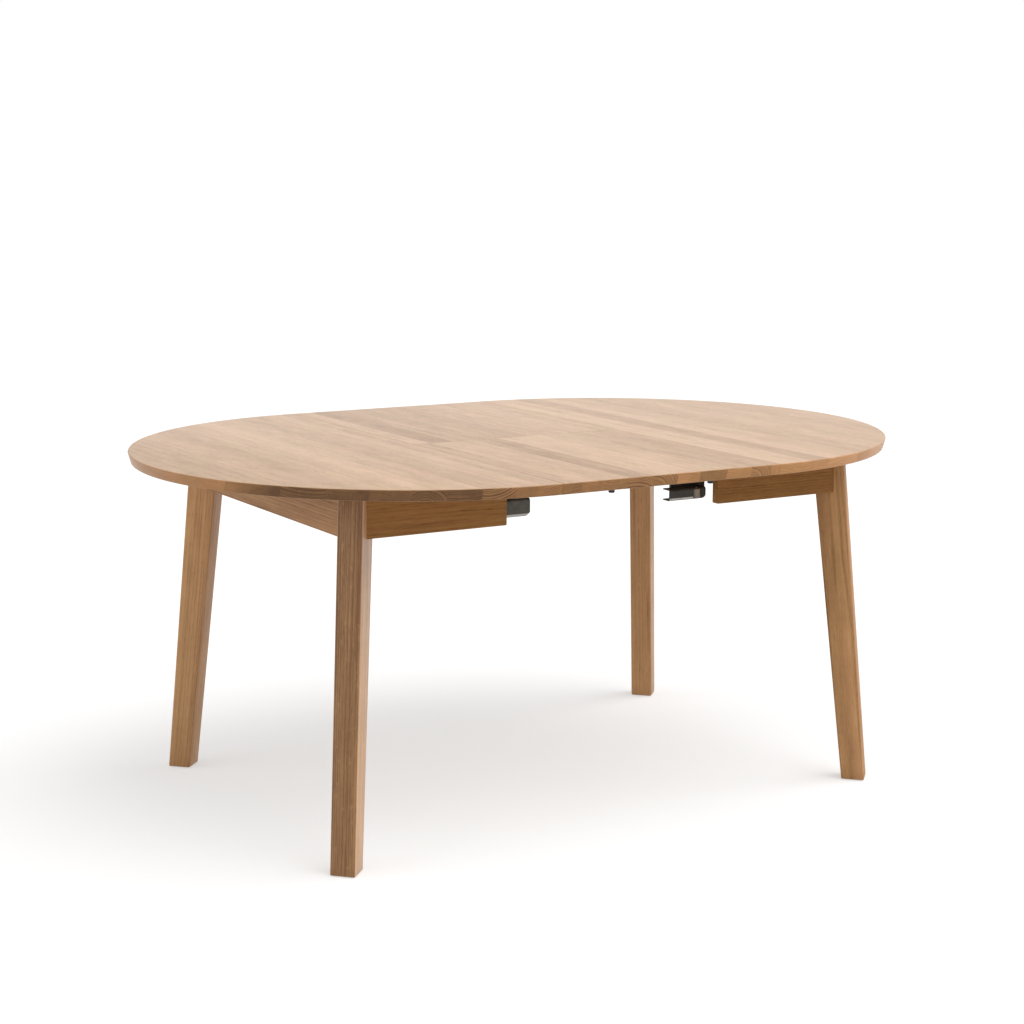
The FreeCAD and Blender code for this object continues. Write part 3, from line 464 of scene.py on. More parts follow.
APRON_ROUND = 0.0015
APRON_PLANED = 0.0001
APRON_LIGHT = (0.560, 0.280, 0.100)
APRON_DARK = (0.190, 0.075, 0.020)
APRON_SHINE = 0.42
APRON_SPECULAR = 0.06
APRON_FIGURE = {"Rings": 0.18, "Streaks": 0.24, "Fibres": 0.55, "Short": 1.6, "End rings": 0.35}
APRON_TONES = {"left": 0.46, "right": 0.54}
END_APRON_FIGURE = {"Rings": 0.36, "Streaks": 0.75, "Fibres": 0.60, "Short": 2.4, "End rings": 0.35}
END_APRON_TONE = 0.28
ALONG_X = ((0.0, 1.0, 0.0), (0.0, 0.0, 1.0), (1.0, 0.0, 0.0))
ALONG_Y = ((0.0, 0.0, 1.0), (1.0, 0.0, 0.0), (0.0, 1.0, 0.0))
PITH_ALONG = (-3.0, 3.0)
PITH_DEEP = (0.03, 0.06)
PITH_HIGH = (-0.02, 0.10)


def nearest_first(one, other):
    """Two places on one axis as distances from the middle of the table, the nearer one first."""
    return sorted((abs(one), abs(other)))


def leg_side(place, axis):
    """Distance along an axis of a leg's side face, at a place on the other axis, for the leg at (+, +)."""
    return LEG_TOP_PLACE[axis] - LEG_TOP_PLACE[1 - axis] + place - LEG_WIDTH / 2 * math.sqrt(2)


def quarter_round(radius, steps):
    """A quarter circle round an edge: radius * (1 - cos) along one face, radius * (1 - sin) in from it."""
    angle = np.linspace(0.0, math.pi / 2, steps)
    return radius * (1 - np.cos(angle)), radius * (1 - np.sin(angle))


def board_section(inner, outer, low, high):
    """Upright section of a board, as (across, height): its two lower edges are quarter circles."""
    rise, inset = quarter_round(APRON_ROUND, 4)
    near = np.stack([inner + inset, low + rise], axis=-1)
    far = np.stack([outer - inset, low + rise], axis=-1)
    return np.concatenate([[[outer, high], [inner, high]], near[::-1], far])


def side_apron(section, free_end):
    """Rows of an apron from its free end, whose edges are rounded by drawing the section in, to the leg."""
    middle = section.mean(axis=0)
    rows = []
    for step, inset in zip(*quarter_round(APRON_ROUND, 4)):
        drawn_in = section + np.sign(middle - section) * inset
        rows.append(np.column_stack([np.full(len(section), free_end + step), drawn_in]))
    rows.append(np.column_stack([leg_side(section[:, 0], 0), section]))
    return np.array(rows)


for side, sign_x in SIDES.items():
    for bench, sign_y in BENCHES.items():
        node = f"{side}_{bench}_apron"
        low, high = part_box(node)
        inner, outer = nearest_first(low.y, high.y)
        inner += APRON_PLANED
        section = board_section(inner, outer, low.z, high.z)
        grid = side_apron(section, nearest_first(low.x, high.x)[0]) * (sign_x, sign_y, 1)
        pith = (rng.uniform(*PITH_ALONG), sign_y * (inner + rng.uniform(*PITH_DEEP)),
                low.z + rng.uniform(*PITH_HIGH))
        finish = oak(f"oak_{node}", ALONG_X, pith, APRON_LIGHT, APRON_DARK, APRON_SHINE, APRON_FIGURE,
                     APRON_TONES[side], specular=APRON_SPECULAR)
        make_piece(f"{node}_oak", tube(grid), f"{side}_half", node, finish)
    node = f"{side}_end_apron"
    low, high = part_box(node)
    inner, outer = nearest_first(low.x, high.x)
    section = board_section(inner, outer, low.z, high.z)
    reach = leg_side(section[:, 0], 1)
    rows = [np.column_stack([section[:, 0], sign * reach, section[:, 1]]) for sign in (-1, 1)]
    grid = np.array(rows) * (sign_x, 1, 1)
    pith = (sign_x * (outer - rng.uniform(*PITH_DEEP)), rng.uniform(*PITH_ALONG),
            low.z + rng.uniform(*PITH_HIGH))
    finish = oak(f"oak_{node}", ALONG_Y, pith, APRON_LIGHT, APRON_DARK, APRON_SHINE, END_APRON_FIGURE,
                 END_APRON_TONE)
    make_piece(f"{node}_oak", tube(grid), f"{side}_half", node, finish)


# ---- corner brackets, hanger bolts and nuts
# A bent steel bracket crosses each corner between the aprons. A hanger bolt screwed into the leg comes
# through it, and a flanged hexagon nut pulls the leg home. All are bright zinc plated.

BRACKET_EASE = 0.0004
EASED_ANGLE = math.radians(40.0)
BOLT_RADIUS = 0.004
BOLT_PITCH = 0.00125
BOLT_POINT = 0.75
THREAD_DEPTH = 0.0006
THREAD_ROWS = 5
NUT_ACROSS_FLATS = 0.013
NUT_WASHER_RADIUS = 0.009
NUT_WASHER = 0.0016
NUT_TOP = 0.0081
NUT_ARRIS = 0.0003
NUT_CHAMFER = 0.0008
ZINC = (0.52, 0.52, 0.50)


def steel(name, colour, metallic, roughness, brushed=(9.0, 700.0, 700.0), spangle=0.25):
    """Plated or blackened steel: drawn lines along the stock, cloudy plating, specks and uneven gloss."""
    material, tree, shader = new_material(name)
    shader.inputs["Metallic"].default_value = metallic
    shader.inputs["Specular IOR Level"].default_value = 0.3
    place = add_node(tree, "TexCoord").outputs["Object"]
    cloud = noise(tree, place, (70.0, 70.0, 70.0), 3.0)
    lines = noise(tree, place, brushed, 3.0)
    specks = noise(tree, place, (900.0, 900.0, 900.0))
    amount = calc(tree, "ADD", calc(tree, "MULTIPLY", cloud, 0.55), calc(tree, "MULTIPLY", lines, 0.30))
    amount = calc(tree, "ADD", amount, calc(tree, "MULTIPLY", specks, 0.15))
    cloudy(tree, shader, colour, spangle, amount, 0.38, 0.62)
    uneven(tree, shader, cloud, roughness, 0.08, lines, 0.20)
    return material


def eased_copy(node, body, material, width):
    """A copy of a CAD node with its loose triangles merged and its sharp edges eased by a small round."""
    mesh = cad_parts[node].data.copy()
    work = bmesh.new()
    work.from_mesh(mesh)
    bmesh.ops.remove_doubles(work, verts=work.verts, dist=1e-6)
    bmesh.ops.dissolve_limit(work, angle_limit=math.radians(1.0), verts=work.verts, edges=work.edges)
    work.to_mesh(mesh)
    work.free()
    ease = add_piece(f"{node}_eased", mesh, body, node, material).modifiers.new("ease", "BEVEL")
    ease.width = width
    ease.segments = 2
    ease.limit_method = "ANGLE"
    ease.angle_limit = EASED_ANGLE


def threaded(length, radius, columns=24):
    """Radii of a thread: they dip by a triangle wave of (distance / pitch - turn) and taper at both ends."""
    distance = np.arange(0.0, length, BOLT_PITCH / THREAD_ROWS)[:, None]
    share = np.linspace(0.0, 1.0, columns, endpoint=False)[None]
    wave = np.abs(((distance / BOLT_PITCH - share) % 1.0) * 2 - 1)
    from_end = np.clip(np.minimum(distance, length - distance) / (2 * BOLT_PITCH), 0.0, 1.0)
    return distance[:, 0], (radius - THREAD_DEPTH * wave) * (BOLT_POINT + (1 - BOLT_POINT) * from_end)


def nut_rows(columns=48):
    """Radii of a flanged nut by row: the washer's circle, then the hexagon cut by a cone at its top."""
    angle = np.linspace(0.0, 2 * math.pi, columns, endpoint=False)
    hexagon = NUT_ACROSS_FLATS / 2 / np.cos((angle % (math.pi / 3)) - math.pi / 6)
    washer = np.full(columns, NUT_WASHER_RADIUS)
    bore = np.full(columns, BOLT_RADIUS)
    chamfer = np.minimum(hexagon, NUT_ACROSS_FLATS / 2 * 1.02)
    rows = [(0.0, bore), (0.0, washer - NUT_ARRIS), (NUT_ARRIS, washer), (NUT_WASHER - NUT_ARRIS, washer),
            (NUT_WASHER, washer - NUT_ARRIS), (NUT_WASHER, hexagon), (NUT_TOP - NUT_CHAMFER, hexagon),
            (NUT_TOP, chamfer), (NUT_TOP, bore)]
    return np.array([row[0] for row in rows]), np.array([row[1] for row in rows])


def ring(grid):
    """The shape of a grid that closes on itself both ways, as on a piece with a bore."""
    place = np.arange(grid.shape[0] * grid.shape[1]).reshape(grid.shape[:2])
    beside = np.roll(place, -1, axis=1)
    corners = [place, beside, np.roll(beside, -1, axis=0), np.roll(place, -1, axis=0)]
    return grid.reshape(-1, 3), list(np.stack(corners, axis=-1).reshape(-1, 4))


def round_the_axis(distance, radii, start, axis):
    """Points of a surface round an axis whose radius is given for every row and column."""
    rows = np.column_stack([distance, np.ones_like(distance)])
    unit = turned(rows, start, axis, radii.shape[1])
    centre = np.asarray(start) + distance[:, None, None] * np.asarray(axis, float)
    return centre + (unit - centre) * radii[:, :, None]


def diagonal_start(node, radius, sign_x, sign_y):
    """Where a pair of pieces on the diagonals starts at the leg, and how far along X it reaches inward."""
    low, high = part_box(node)
    disc = radius / math.sqrt(2)
    inner, outer = nearest_first(low.x, high.x)
    start = (sign_x * (outer - disc), sign_y * (high.y - disc), (low.z + high.z) / 2)
    return start, outer - inner - 2 * disc


BRACKET_ZINC = steel("bracket_zinc", ZINC, 1.0, 0.38, (40.0, 40.0, 500.0))
BOLT_ZINC = steel("bolt_zinc", ZINC, 1.0, 0.32, (300.0, 300.0, 300.0))
for side, sign_x in SIDES.items():
    body = f"{side}_half"
    eased_copy(f"{side}_corner_brackets", body, BRACKET_ZINC, BRACKET_EASE)
    bolts = []
    nuts = []
    for sign_y in (-1, 1):
        inward = np.array([-sign_x, -sign_y, 0]) / math.sqrt(2)
        start, reach = diagonal_start(f"{side}_hanger_bolts", BOLT_RADIUS, sign_x, sign_y)
        distance, radii = threaded(reach * math.sqrt(2), BOLT_RADIUS)
        bolts.append(tube(round_the_axis(distance, radii, start, inward)))
        start, reach = diagonal_start(f"{side}_leg_nuts", NUT_WASHER_RADIUS, sign_x, sign_y)
        nuts.append(ring(round_the_axis(*nut_rows(), start, inward)))
    make_piece(f"{side}_threaded_bolts", merged(bolts), body, f"{side}_hanger_bolts", BOLT_ZINC)
    make_piece(f"{side}_flanged_nuts", merged(nuts), body, f"{side}_leg_nuts", BOLT_ZINC)


# ---- half tops
# Two half discs, 22 mm thick, glued up from oak staves that run across the table, so that the long edges
# show end grain. The rim leans in by 5 mm toward the bottom; its upper edge is round, its lower one eased.

EDGE_ROUND = 0.0025
EDGE_ARRIS = 0.0015
EDGE_LEAN = 0.005
SEAM_ARRIS = 0.0004
TOP_LIGHT = (0.690, 0.450, 0.275)
TOP_END_LIGHT = (0.660, 0.330, 0.135)
TOP_DARK = (0.150, 0.075, 0.032)
TOP_SHINE = 0.30
TOP_FIGURE = {"Rings": 0.09, "Streaks": 0.20, "Fibres": 0.22, "Short": 8.0, "End rings": 0.30}
TOP_AXES = ((1.0, 0.0, 0.0), (0.0, 0.0, 1.0), (0.0, -1.0, 0.0))
PITH_WANDER = 0.03
PITH_LEAST = 0.15
# For each stave, where it starts along X in millimetres, the tone of its face, and that of its end grain.
# The end-grain tones are partly the end grain's own darkness and partly painted: painted shade darkens the
# left half's near edge, which faces away from the lamps, and painted light lightens the right half's.
LEFT_STAVES = ((-835, 0.33, 0.50), (-778, 0.31, 1.00), (-716, 0.25, 0.95), (-655, 0.29, 0.91),
               (-594, 0.19, 0.84), (-528, 0.12, 0.89), (-470, 0.18, 0.95), (-409, 0.26, 0.62),
               (-345, 0.19, 0.51), (-290, 0.24, 0.50))
RIGHT_STAVES = ((250, 0.03, 0.12), (288, 0.09, 0.07), (332, 0.32, 0.13), (384, 0.05, 0.02),
                (425, 0.16, 0.05), (490, 0.25, 0.22), (548, 0.14, 0.14), (612, 0.21, 0.22),
                (668, 0.18, 0.12), (726, 0.22, 0.10), (782, 0.19, 0.06))


def stave_cards(staves, start, end, seed):
    """The span of a board, and for each stave the share where it starts and its card, packed in 0..1."""
    chance = np.random.default_rng(seed)
    places, tones, end_tones = np.array(staves).T
    starts = places / 1000
    ends = np.append(starts[1:], end)
    wander = chance.uniform(-PITH_WANDER, PITH_WANDER, len(staves))
    across = ((starts + ends) / 2 + wander - start) / (end - start)
    through = 0.5 + 0.5 * chance.choice((-1, 1), len(staves)) * chance.uniform(PITH_LEAST, 1.0, len(staves))
    shares = np.clip((starts - start) / (end - start), 0, 1)
    cards = zip(np.clip(across, 0, 1), through, tones, end_tones)
    return start, end, list(zip(shares, cards))


def edge_profile(high, low):
    """Inset and height down a top's edge: a quarter circle, a lean, and a smaller quarter circle."""
    fall, inset = quarter_round(EDGE_ROUND, 7)
    turn_in, rise = quarter_round(EDGE_ARRIS, 7)
    return [*zip(inset, high - fall), *zip(EDGE_LEAN + turn_in, low + rise)]


def stave_board(node, body, outline, staves, seed):
    """A board of staves: its edge profile swept round the outline for each inset and seam arris."""
    low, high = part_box(node)
    rows = []
    for inset, height in edge_profile(high.z, low.z):
        arris = SEAM_ARRIS * min(1.0, inset / EDGE_ROUND) * (height > (low.z + high.z) / 2)
        plan = outline(inset, arris)
        rows.append(np.column_stack([plan, np.full(len(plan), height)]))
    finish = oak(f"oak_{node}", TOP_AXES, (0.0, 0.0, (low.z + high.z) / 2), TOP_LIGHT, TOP_DARK, TOP_SHINE,
                 TOP_FIGURE, end_light=TOP_END_LIGHT, staves=stave_cards(staves, low.x, high.x, seed))
    make_piece(f"{node}_oak", tube(np.array(rows)), body, node, finish)


def half_disc_outline(radius, inset, seam_inset, steps=97):
    """Outline of a half disc on the -X side of its centre: an arc inset from the rim, closed by the seam."""
    start = math.acos(-seam_inset / (radius - inset))
    angle = np.linspace(start, 2 * math.pi - start, steps)
    arc = (radius - inset) * np.stack([np.cos(angle), np.sin(angle)], axis=-1)
    share = np.linspace(0.0, 1.0, 9)[1:-1, None]
    seam = arc[-1] + (arc[0] - arc[-1]) * share
    return np.concatenate([arc, seam])


for (side, sign_x), staves, seed in zip(SIDES.items(), (LEFT_STAVES, RIGHT_STAVES), (3, 11)):
    low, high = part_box(f"{side}_top")
    radius = high.y
    seam, tip = nearest_first(low.x, high.x)
    seam_gap = seam - (tip - radius)

    def half_disc(inset, arris):
        """The half top's outline on its own side of the table."""
        outline = half_disc_outline(radius, inset, seam_gap + arris)
        return np.column_stack([-sign_x * (outline[:, 0] - (tip - radius)), outline[:, 1]])

    stave_board(f"{side}_top", f"{side}_half", half_disc, staves, seed)


# ---- battens and clips under the half tops
# Two oak battens are screwed across the staves under each half top to keep it flat, and zinc angle clips
# hold the top to the end apron. Their pan-head screws are zinc plated.

SCREW_EASE = 0.0003
CLIP_EASE = 0.0004
BATTEN_SHINE = 0.44
BATTEN_PITH = (-0.04, 0.04)
BATTEN_PITH_HEIGHT = 0.66
TOP_BATTEN_TONE = 0.25


def batten(node, tone):
    """Gives a CAD batten its oak."""
    pith = (0.0, rng.uniform(*BATTEN_PITH), BATTEN_PITH_HEIGHT)
    finish = oak(f"oak_{node}", ALONG_X, pith, APRON_LIGHT, APRON_DARK, BATTEN_SHINE, APRON_FIGURE, tone)
    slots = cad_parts[node].data.materials
    slots.clear()
    slots.append(finish)


SCREW_ZINC = steel("screw_zinc", (0.56, 0.56, 0.53), 1.0, 0.34, (400.0, 400.0, 400.0))
for side in SIDES:
    body = f"{side}_half"
    batten(f"{side}_battens", TOP_BATTEN_TONE)
    eased_copy(f"{side}_top_clips", body, BRACKET_ZINC, CLIP_EASE)
    eased_copy(f"{side}_batten_screws", body, SCREW_ZINC, SCREW_EASE)
    eased_copy(f"{side}_wood_screws", body, SCREW_ZINC, SCREW_EASE)


# ---- seam tongues
# Short joggled steel plates screwed under the seam edge of each half top. Their tips stand a little lower
# and carry the edge of the leaf when it lies in the gap.

TONGUE_EASE = 0.0005
TONGUE_STEEL = steel("tongue_zinc", (0.50, 0.50, 0.47), 1.0, 0.40)
for side in SIDES:
    eased_copy(f"{side}_seam_tongues", f"{side}_half", TONGUE_STEEL, TONGUE_EASE)


# ---- rails
# A folded steel rail on each half frame, front and back, blackened and satin, with ears screwed up into
# the half top and a stop plate at its seam end. The middle bars run in them.

RAIL_EASE = 0.0005
RAIL_BLACK = steel("rail_black", (0.070, 0.064, 0.058), 0.6, 0.42)
for side in SIDES:
    for bench in BENCHES:
        eased_copy(f"{side}_{bench}_rail", f"{side}_half", RAIL_BLACK, RAIL_EASE)


# ---- guide channels
# Steel channels folded from 2.5 mm sheet, screwed inside the left aprons below the rails. They come out past
# the end of the apron and the lower corner is cut off there. A pale band along the lower bend is a painted
# highlight.

SHEET = 0.0025
BEND = 0.005
CHANNEL_CHAMFER = 0.008
CHANNEL_BLACK = (0.105, 0.100, 0.086)
# Between these heights on the lower bend a pale colour is painted as a highlight, standing in for the bend's
# reflection of the bright floor, with a short fade at its top.
HIGHLIGHT_LOW = 0.0018
HIGHLIGHT_HIGH = 0.0054
HIGHLIGHT_FADE = 0.0003
HIGHLIGHT_COLOUR = (0.62, 0.60, 0.55)
BLACKING_METALLIC = 0.15
BLACKING_ROUGHNESS = 0.50


def folded_skin(depth, low, high, back, levels):
    """One skin of a folded C, from one mouth to the other: flange, quarter-circle bend, web, bend, flange.

    Each point is (distance from the web's outer face, height). back is how far the skin lies behind the
    outer one, and levels are extra heights on the web.
    """
    angle = np.linspace(0.0, math.pi / 2, 8)
    reach = BEND - back
    upper = np.stack([BEND - reach * np.sin(angle), high - BEND + reach * np.cos(angle)], axis=-1)
    lower = np.stack([BEND - reach * np.cos(angle), low + BEND - reach * np.sin(angle)], axis=-1)
    web = np.array([(back, level) for level in sorted(levels, reverse=True)]).reshape(-1, 2)
    return np.concatenate([[(depth, high - back)], upper, web, lower, [(depth, low + back)]])


def folded_channel(stations, chamfer, y_web, y_mouth, low, high, window=None):
    """A folded C along X, closed: two skins joined at the mouths, the ends and round a window in the web.

    A point's X is its station, less what the cut corner takes at its height at the last one.
    """
    levels = [low + chamfer, low + HIGHLIGHT_HIGH, low + HIGHLIGHT_HIGH + HIGHLIGHT_FADE, *(window[1] if window else ())]
    into = math.copysign(1.0, y_mouth - y_web)
    at_end = (np.arange(len(stations)) == len(stations) - 1)[:, None]
    skins = []
    for back in (0.0, SHEET):
        skin = folded_skin(abs(y_mouth - y_web), low, high, back, levels)
        cut = np.clip(low + chamfer - skin[:, 1], 0.0, None)
        x = np.array(stations)[:, None] - cut * at_end
        y = np.broadcast_to(y_web + into * skin[:, 0], x.shape)
        z = np.broadcast_to(skin[:, 1], x.shape)
        skins.append(np.stack([x, y, z], axis=-1))
    rows, columns = skins[0].shape[:2]
    place = np.arange(rows * columns).reshape(rows, columns)
    behind = place + rows * columns
    keep = np.ones((rows - 1, columns - 1), bool)
    borders = [np.s_[:, 0], np.s_[:, -1], np.s_[0], np.s_[-1]]
    if window:
        first, last = (stations.index(end) for end in window[0])
        bottom, top = (np.flatnonzero(np.isclose(skins[0][0, :, 2], level))[0] for level in window[1])
        keep[first:last, top:bottom] = False
        across = slice(first, last + 1)
        down = slice(top, bottom + 1)
        borders += [(across, top), (across, bottom), (first, down), (last, down)]
    faces = []
    for grid in (place, behind):
        quads = np.stack([grid[:-1, :-1], grid[1:, :-1], grid[1:, 1:], grid[:-1, 1:]], axis=-1)
        faces += list(quads[keep])
    for border in borders:
        near, far = place[border], behind[border]
        faces += list(np.stack([near[:-1], near[1:], far[1:], far[:-1]], axis=-1))
    return np.concatenate([skin.reshape(-1, 3) for skin in skins]), faces


def highlighted_steel(name, colour):
    """Blackened steel with a painted highlight: a pale colour, in patches, where its own attribute marks the
    bend.
    """
    material = steel(name, colour, BLACKING_METALLIC, BLACKING_ROUGHNESS, (12.0, 600.0, 600.0))
    tree = material.node_tree
    base_colour = tree.nodes["Principled BSDF"].inputs["Base Color"]
    bend_highlight = add_node(tree, "Attribute", attribute_name="bend_highlight").outputs["Fac"]
    place = add_node(tree, "TexCoord").outputs["Object"]
    patch = remap(tree, noise(tree, place, (60.0, 400.0, 400.0), 3.0), 0.30, 0.50, 0.75, 1.0)
    highlit = calc(tree, "MULTIPLY", bend_highlight, patch)
    tree.links.new(blend(tree, highlit, base_colour.links[0].from_socket, (*HIGHLIGHT_COLOUR, 1.0)), base_colour)
    return material


def mark_painted_highlight(piece, low, start, end):
    """Marks the outer skin of the lower bend for the painted highlight between two X places: 1 in the band,
    0 elsewhere.
    """
    mesh = piece.data
    places = np.empty(len(mesh.vertices) * 3)
    mesh.vertices.foreach_get("co", places)
    x, y, z = places.reshape(-1, 3).T
    outer_skin = np.arange(len(z)) < len(z) // 2
    band = outer_skin & (z > low + HIGHLIGHT_LOW) & (z < low + HIGHLIGHT_HIGH + HIGHLIGHT_FADE / 2) & (x >= start) & (x <= end)
    values = mesh.attributes.new("bend_highlight", "FLOAT", "POINT")
    values.data.foreach_set("value", band.astype(float))


for bench, sign_y in BENCHES.items():
    node = f"left_{bench}_guide_channel"
    low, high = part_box(node)
    mouth, web = nearest_first(low.y, high.y)
    stations = [low.x, high.x - CHANNEL_CHAMFER, high.x]
    folded = folded_channel(stations, CHANNEL_CHAMFER, sign_y * web, sign_y * mouth, low.z, high.z)
    finish = highlighted_steel(f"channel_black_{bench}", CHANNEL_BLACK)
    channel = make_piece(f"{node}_folded", folded, "left_half", node, finish)
    # The painted highlight runs the whole length of the channel's lower bend.
    mark_painted_highlight(channel, low.z, -math.inf, math.inf)


# ---- middle bars and their slides
# A flat blackened bar runs in both rails on each side of the table. Two hangers come down from it, one for
# the wheel and one for the guide shoe, and grey nylon slides are fixed to it where it runs in the rails.

BAR_EASE = 0.0006
SLIDE_EASE = 0.0008
BAR_BLACK = steel("bar_black", (0.060, 0.056, 0.052), 0.6, 0.40)
SLIDE_NYLON = moulded("slide_nylon", (0.30, 0.30, 0.29), 0.45)
for bench in BENCHES:
    eased_copy(f"{bench}_runner_bar", f"{bench}_runner", BAR_BLACK, BAR_EASE)
    eased_copy(f"{bench}_runner_slides", f"{bench}_runner", SLIDE_NYLON, SLIDE_EASE)


# ---- guide shoes and rollers
# Each shoe is a short folded steel C welded to the bar's hanger, with a window in its web. A pale brown
# nylon roller stands in it on an upright pin and looks out of the window, to run along the right apron.

SHOE_CHAMFER = 0.006
SHOE_BLACK = (0.050, 0.045, 0.037)
WINDOW_HALF = 0.0100
WINDOW_MARGIN = 0.0052
ROLLER_EDGE = 0.0010
PIN_BORE = 0.00255
# The painted highlight on the shoe's lower bend stops this far short of the window.
SHOE_HIGHLIGHT_END = 0.0005
# Across a tread, as shares of its width and of the groove's depth.
TREAD = ((0.38, 0.0), (0.42, 1.0), (0.58, 1.0), (0.62, 0.0))
ROLLER_NYLON = moulded("roller_nylon", (0.30, 0.24, 0.19), 0.45, 0.2)


def rim_profile(width, radius, edge, groove=0.0):
    """Closed section of a wheel as (distance, radius): bore, rounded edges, and a groove in its tread."""
    along, inset = quarter_round(edge, 5)
    near = np.stack([along, radius - inset], axis=-1)
    far = near[::-1] * (-1, 1) + (width, 0)
    tread = [(width * share, radius - groove * depth) for share, depth in TREAD]
    return np.concatenate([[(0.0, PIN_BORE)], near, tread, far, [(width, PIN_BORE)]])


for bench, sign_y in BENCHES.items():
    node = f"{bench}_guide_shoe"
    low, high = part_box(node)
    roller_low, roller_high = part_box(f"{bench}_guide_roller")
    middle = (roller_low + roller_high) / 2
    mouth, web = nearest_first(low.y, high.y)
    window = ((middle.x - WINDOW_HALF, middle.x + WINDOW_HALF),
              (low.z + WINDOW_MARGIN, high.z - WINDOW_MARGIN))
    stations = [low.x, window[0][0] - SHOE_HIGHLIGHT_END, *window[0], high.x - SHOE_CHAMFER, high.x]
    folded = folded_channel(stations, SHOE_CHAMFER, sign_y * web, sign_y * mouth, low.z, high.z, window)
    finish = highlighted_steel(f"shoe_black_{bench}", SHOE_BLACK)
    shoe = make_piece(f"{node}_folded", folded, f"{bench}_runner", node, finish)
    # The shoe's lower bend gets the painted highlight only up to the window.
    mark_painted_highlight(shoe, low.z, low.x, window[0][0] - SHOE_HIGHLIGHT_END / 2)
    size = roller_high - roller_low
    profile = rim_profile(size.z, size.x / 2, ROLLER_EDGE)
    roller = ring(turned(profile, (middle.x, middle.y, roller_low.z), (0, 0, 1)))
    make_piece(f"{bench}_nylon_roller", roller, f"{bench}_roller", f"{bench}_guide_roller", ROLLER_NYLON)


# ---- channel wheels and pins
# A nylon wheel on each bar's hanger runs in the guide channel. It turns on a headed zinc stud riveted into
# the hanger, and the roller's pin stands between the shoe's flanges.

WHEEL_EDGE = 0.0015
WHEEL_GROOVE = 0.0006
WHEEL_COLUMNS = 56
PIN_EASE = 0.0003
WHEEL_NYLON = moulded("wheel_nylon", (0.26, 0.26, 0.25), 0.48)
for bench in BENCHES:
    node = f"{bench}_channel_wheel"
    low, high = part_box(node)
    profile = rim_profile(high.y - low.y, (high.x - low.x) / 2, WHEEL_EDGE, WHEEL_GROOVE)
    start = ((low.x + high.x) / 2, low.y, (low.z + high.z) / 2)
    wheel = ring(turned(profile, start, (0, 1, 0), WHEEL_COLUMNS))
    make_piece(f"{node}_turned", wheel, f"{bench}_wheel", node, WHEEL_NYLON)
    eased_copy(f"{bench}_runner_pins", f"{bench}_runner", BOLT_ZINC, PIN_EASE)


# ---- leaf
# Two boards of the same staves, hinged together along the middle of the table so that the leaf folds.
# Their outer ends carry the rounding of the tops' edges, and their seams and the fold are only eased.

FRONT_LEAF_STAVES = ((-250, 0.27, 0.59), (-210, 0.14, 0.50), (-165, 0.20, 0.53), (-107, 0.38, 0.53),
                     (-50, 0.10, 0.53), (7, 0.07, 0.18), (58, 0.16, 0.52), (122, 0.27, 0.20),
                     (180, 0.30, 0.37), (230, 0.25, 0.19))
BACK_LEAF_STAVES = ((-250, 0.16, 0.30), (-212, 0.46, 0.30), (-155, 0.26, 0.30), (-112, 0.34, 0.30),
                    (-70, 0.27, 0.30), (-5, 0.31, 0.30), (30, 0.22, 0.30), (80, 0.18, 0.30),
                    (150, 0.14, 0.30), (205, 0.21, 0.30))

leaf_staves = (FRONT_LEAF_STAVES, BACK_LEAF_STAVES)
for (bench, sign_y), staves, seed in zip(BENCHES.items(), leaf_staves, (5, 23)):
    low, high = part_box(f"leaf_{bench}_board")
    fold, end = nearest_first(low.y, high.y)

    def half_leaf(inset, arris):
        """The outline of one half of the leaf: only its outer end follows the edge profile."""
        return np.array([(low.x + arris, fold + arris), (high.x - arris, fold + arris),
                         (high.x - arris, end - inset), (low.x + arris, end - inset)]) * (1, sign_y)

    stave_board(f"leaf_{bench}_board", f"leaf_{bench}", half_leaf, staves, seed)


# ---- leaf battens, buffers and fold hinges
# Under each half of the leaf lie an oak batten and two black rubber buffers that keep it off other things
# when it stands folded. Three brass barrel hinges are let into the edges that meet at the fold.

LEAF_BATTEN_TONE = 0.22
BUFFER_EDGE = 0.0015
HINGE_EASE = 0.0004
BUFFER_RUBBER = moulded("black_rubber", (0.014, 0.014, 0.014), 0.62)
HINGE_BRASS = steel("hinge_brass", (0.60, 0.42, 0.16), 1.0, 0.33, (500.0, 500.0, 60.0), spangle=0.15)
for bench in BENCHES:
    body = f"leaf_{bench}"
    batten(f"{body}_batten", LEAF_BATTEN_TONE)
    eased_copy(f"{body}_batten_screws", body, SCREW_ZINC, SCREW_EASE)
    eased_copy(f"{body}_fold_hinges", body, HINGE_BRASS, HINGE_EASE)
    low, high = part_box(f"{body}_buffers")
    radius = (high.y - low.y) / 2
    along, inset = quarter_round(BUFFER_EDGE, 6)
    profile = [*zip(along, radius - inset), (high.z - low.z, radius)]
    pair = []
    for x in (low.x + radius, high.x - radius):
        place = (x, (low.y + high.y) / 2, low.z)
        pair.append(tube(turned(profile, place, (0, 0, 1))))
    make_piece(f"{body}_rubber_buffers", merged(pair), body, f"{body}_buffers", BUFFER_RUBBER)


# ---- floor, light and camera
# A pale floor that fades into a white studio, a large soft light overhead and weaker ones from both sides.
# Seen from below, the floor is clear, so that the underside of the table can be looked at.

FLOOR_REACH = 30.0
FLOOR_COLOUR = (0.58, 0.58, 0.58, 1.0)
FLOOR_LIFT = 0.50
AMBIENT = 0.42
WHITE = (1.0, 1.0, 1.0, 1.0)
CAMERA_PLACE = (-2.26901, -3.79452, 1.34780)
CAMERA_YAW = 0.53644
CAMERA_PITCH = 0.17271
CAMERA_ROLL = 0.00452
FOCAL_PIXELS = 2088.61
IMAGE_PIXELS = 1024
SENSOR_WIDTH = 36.0


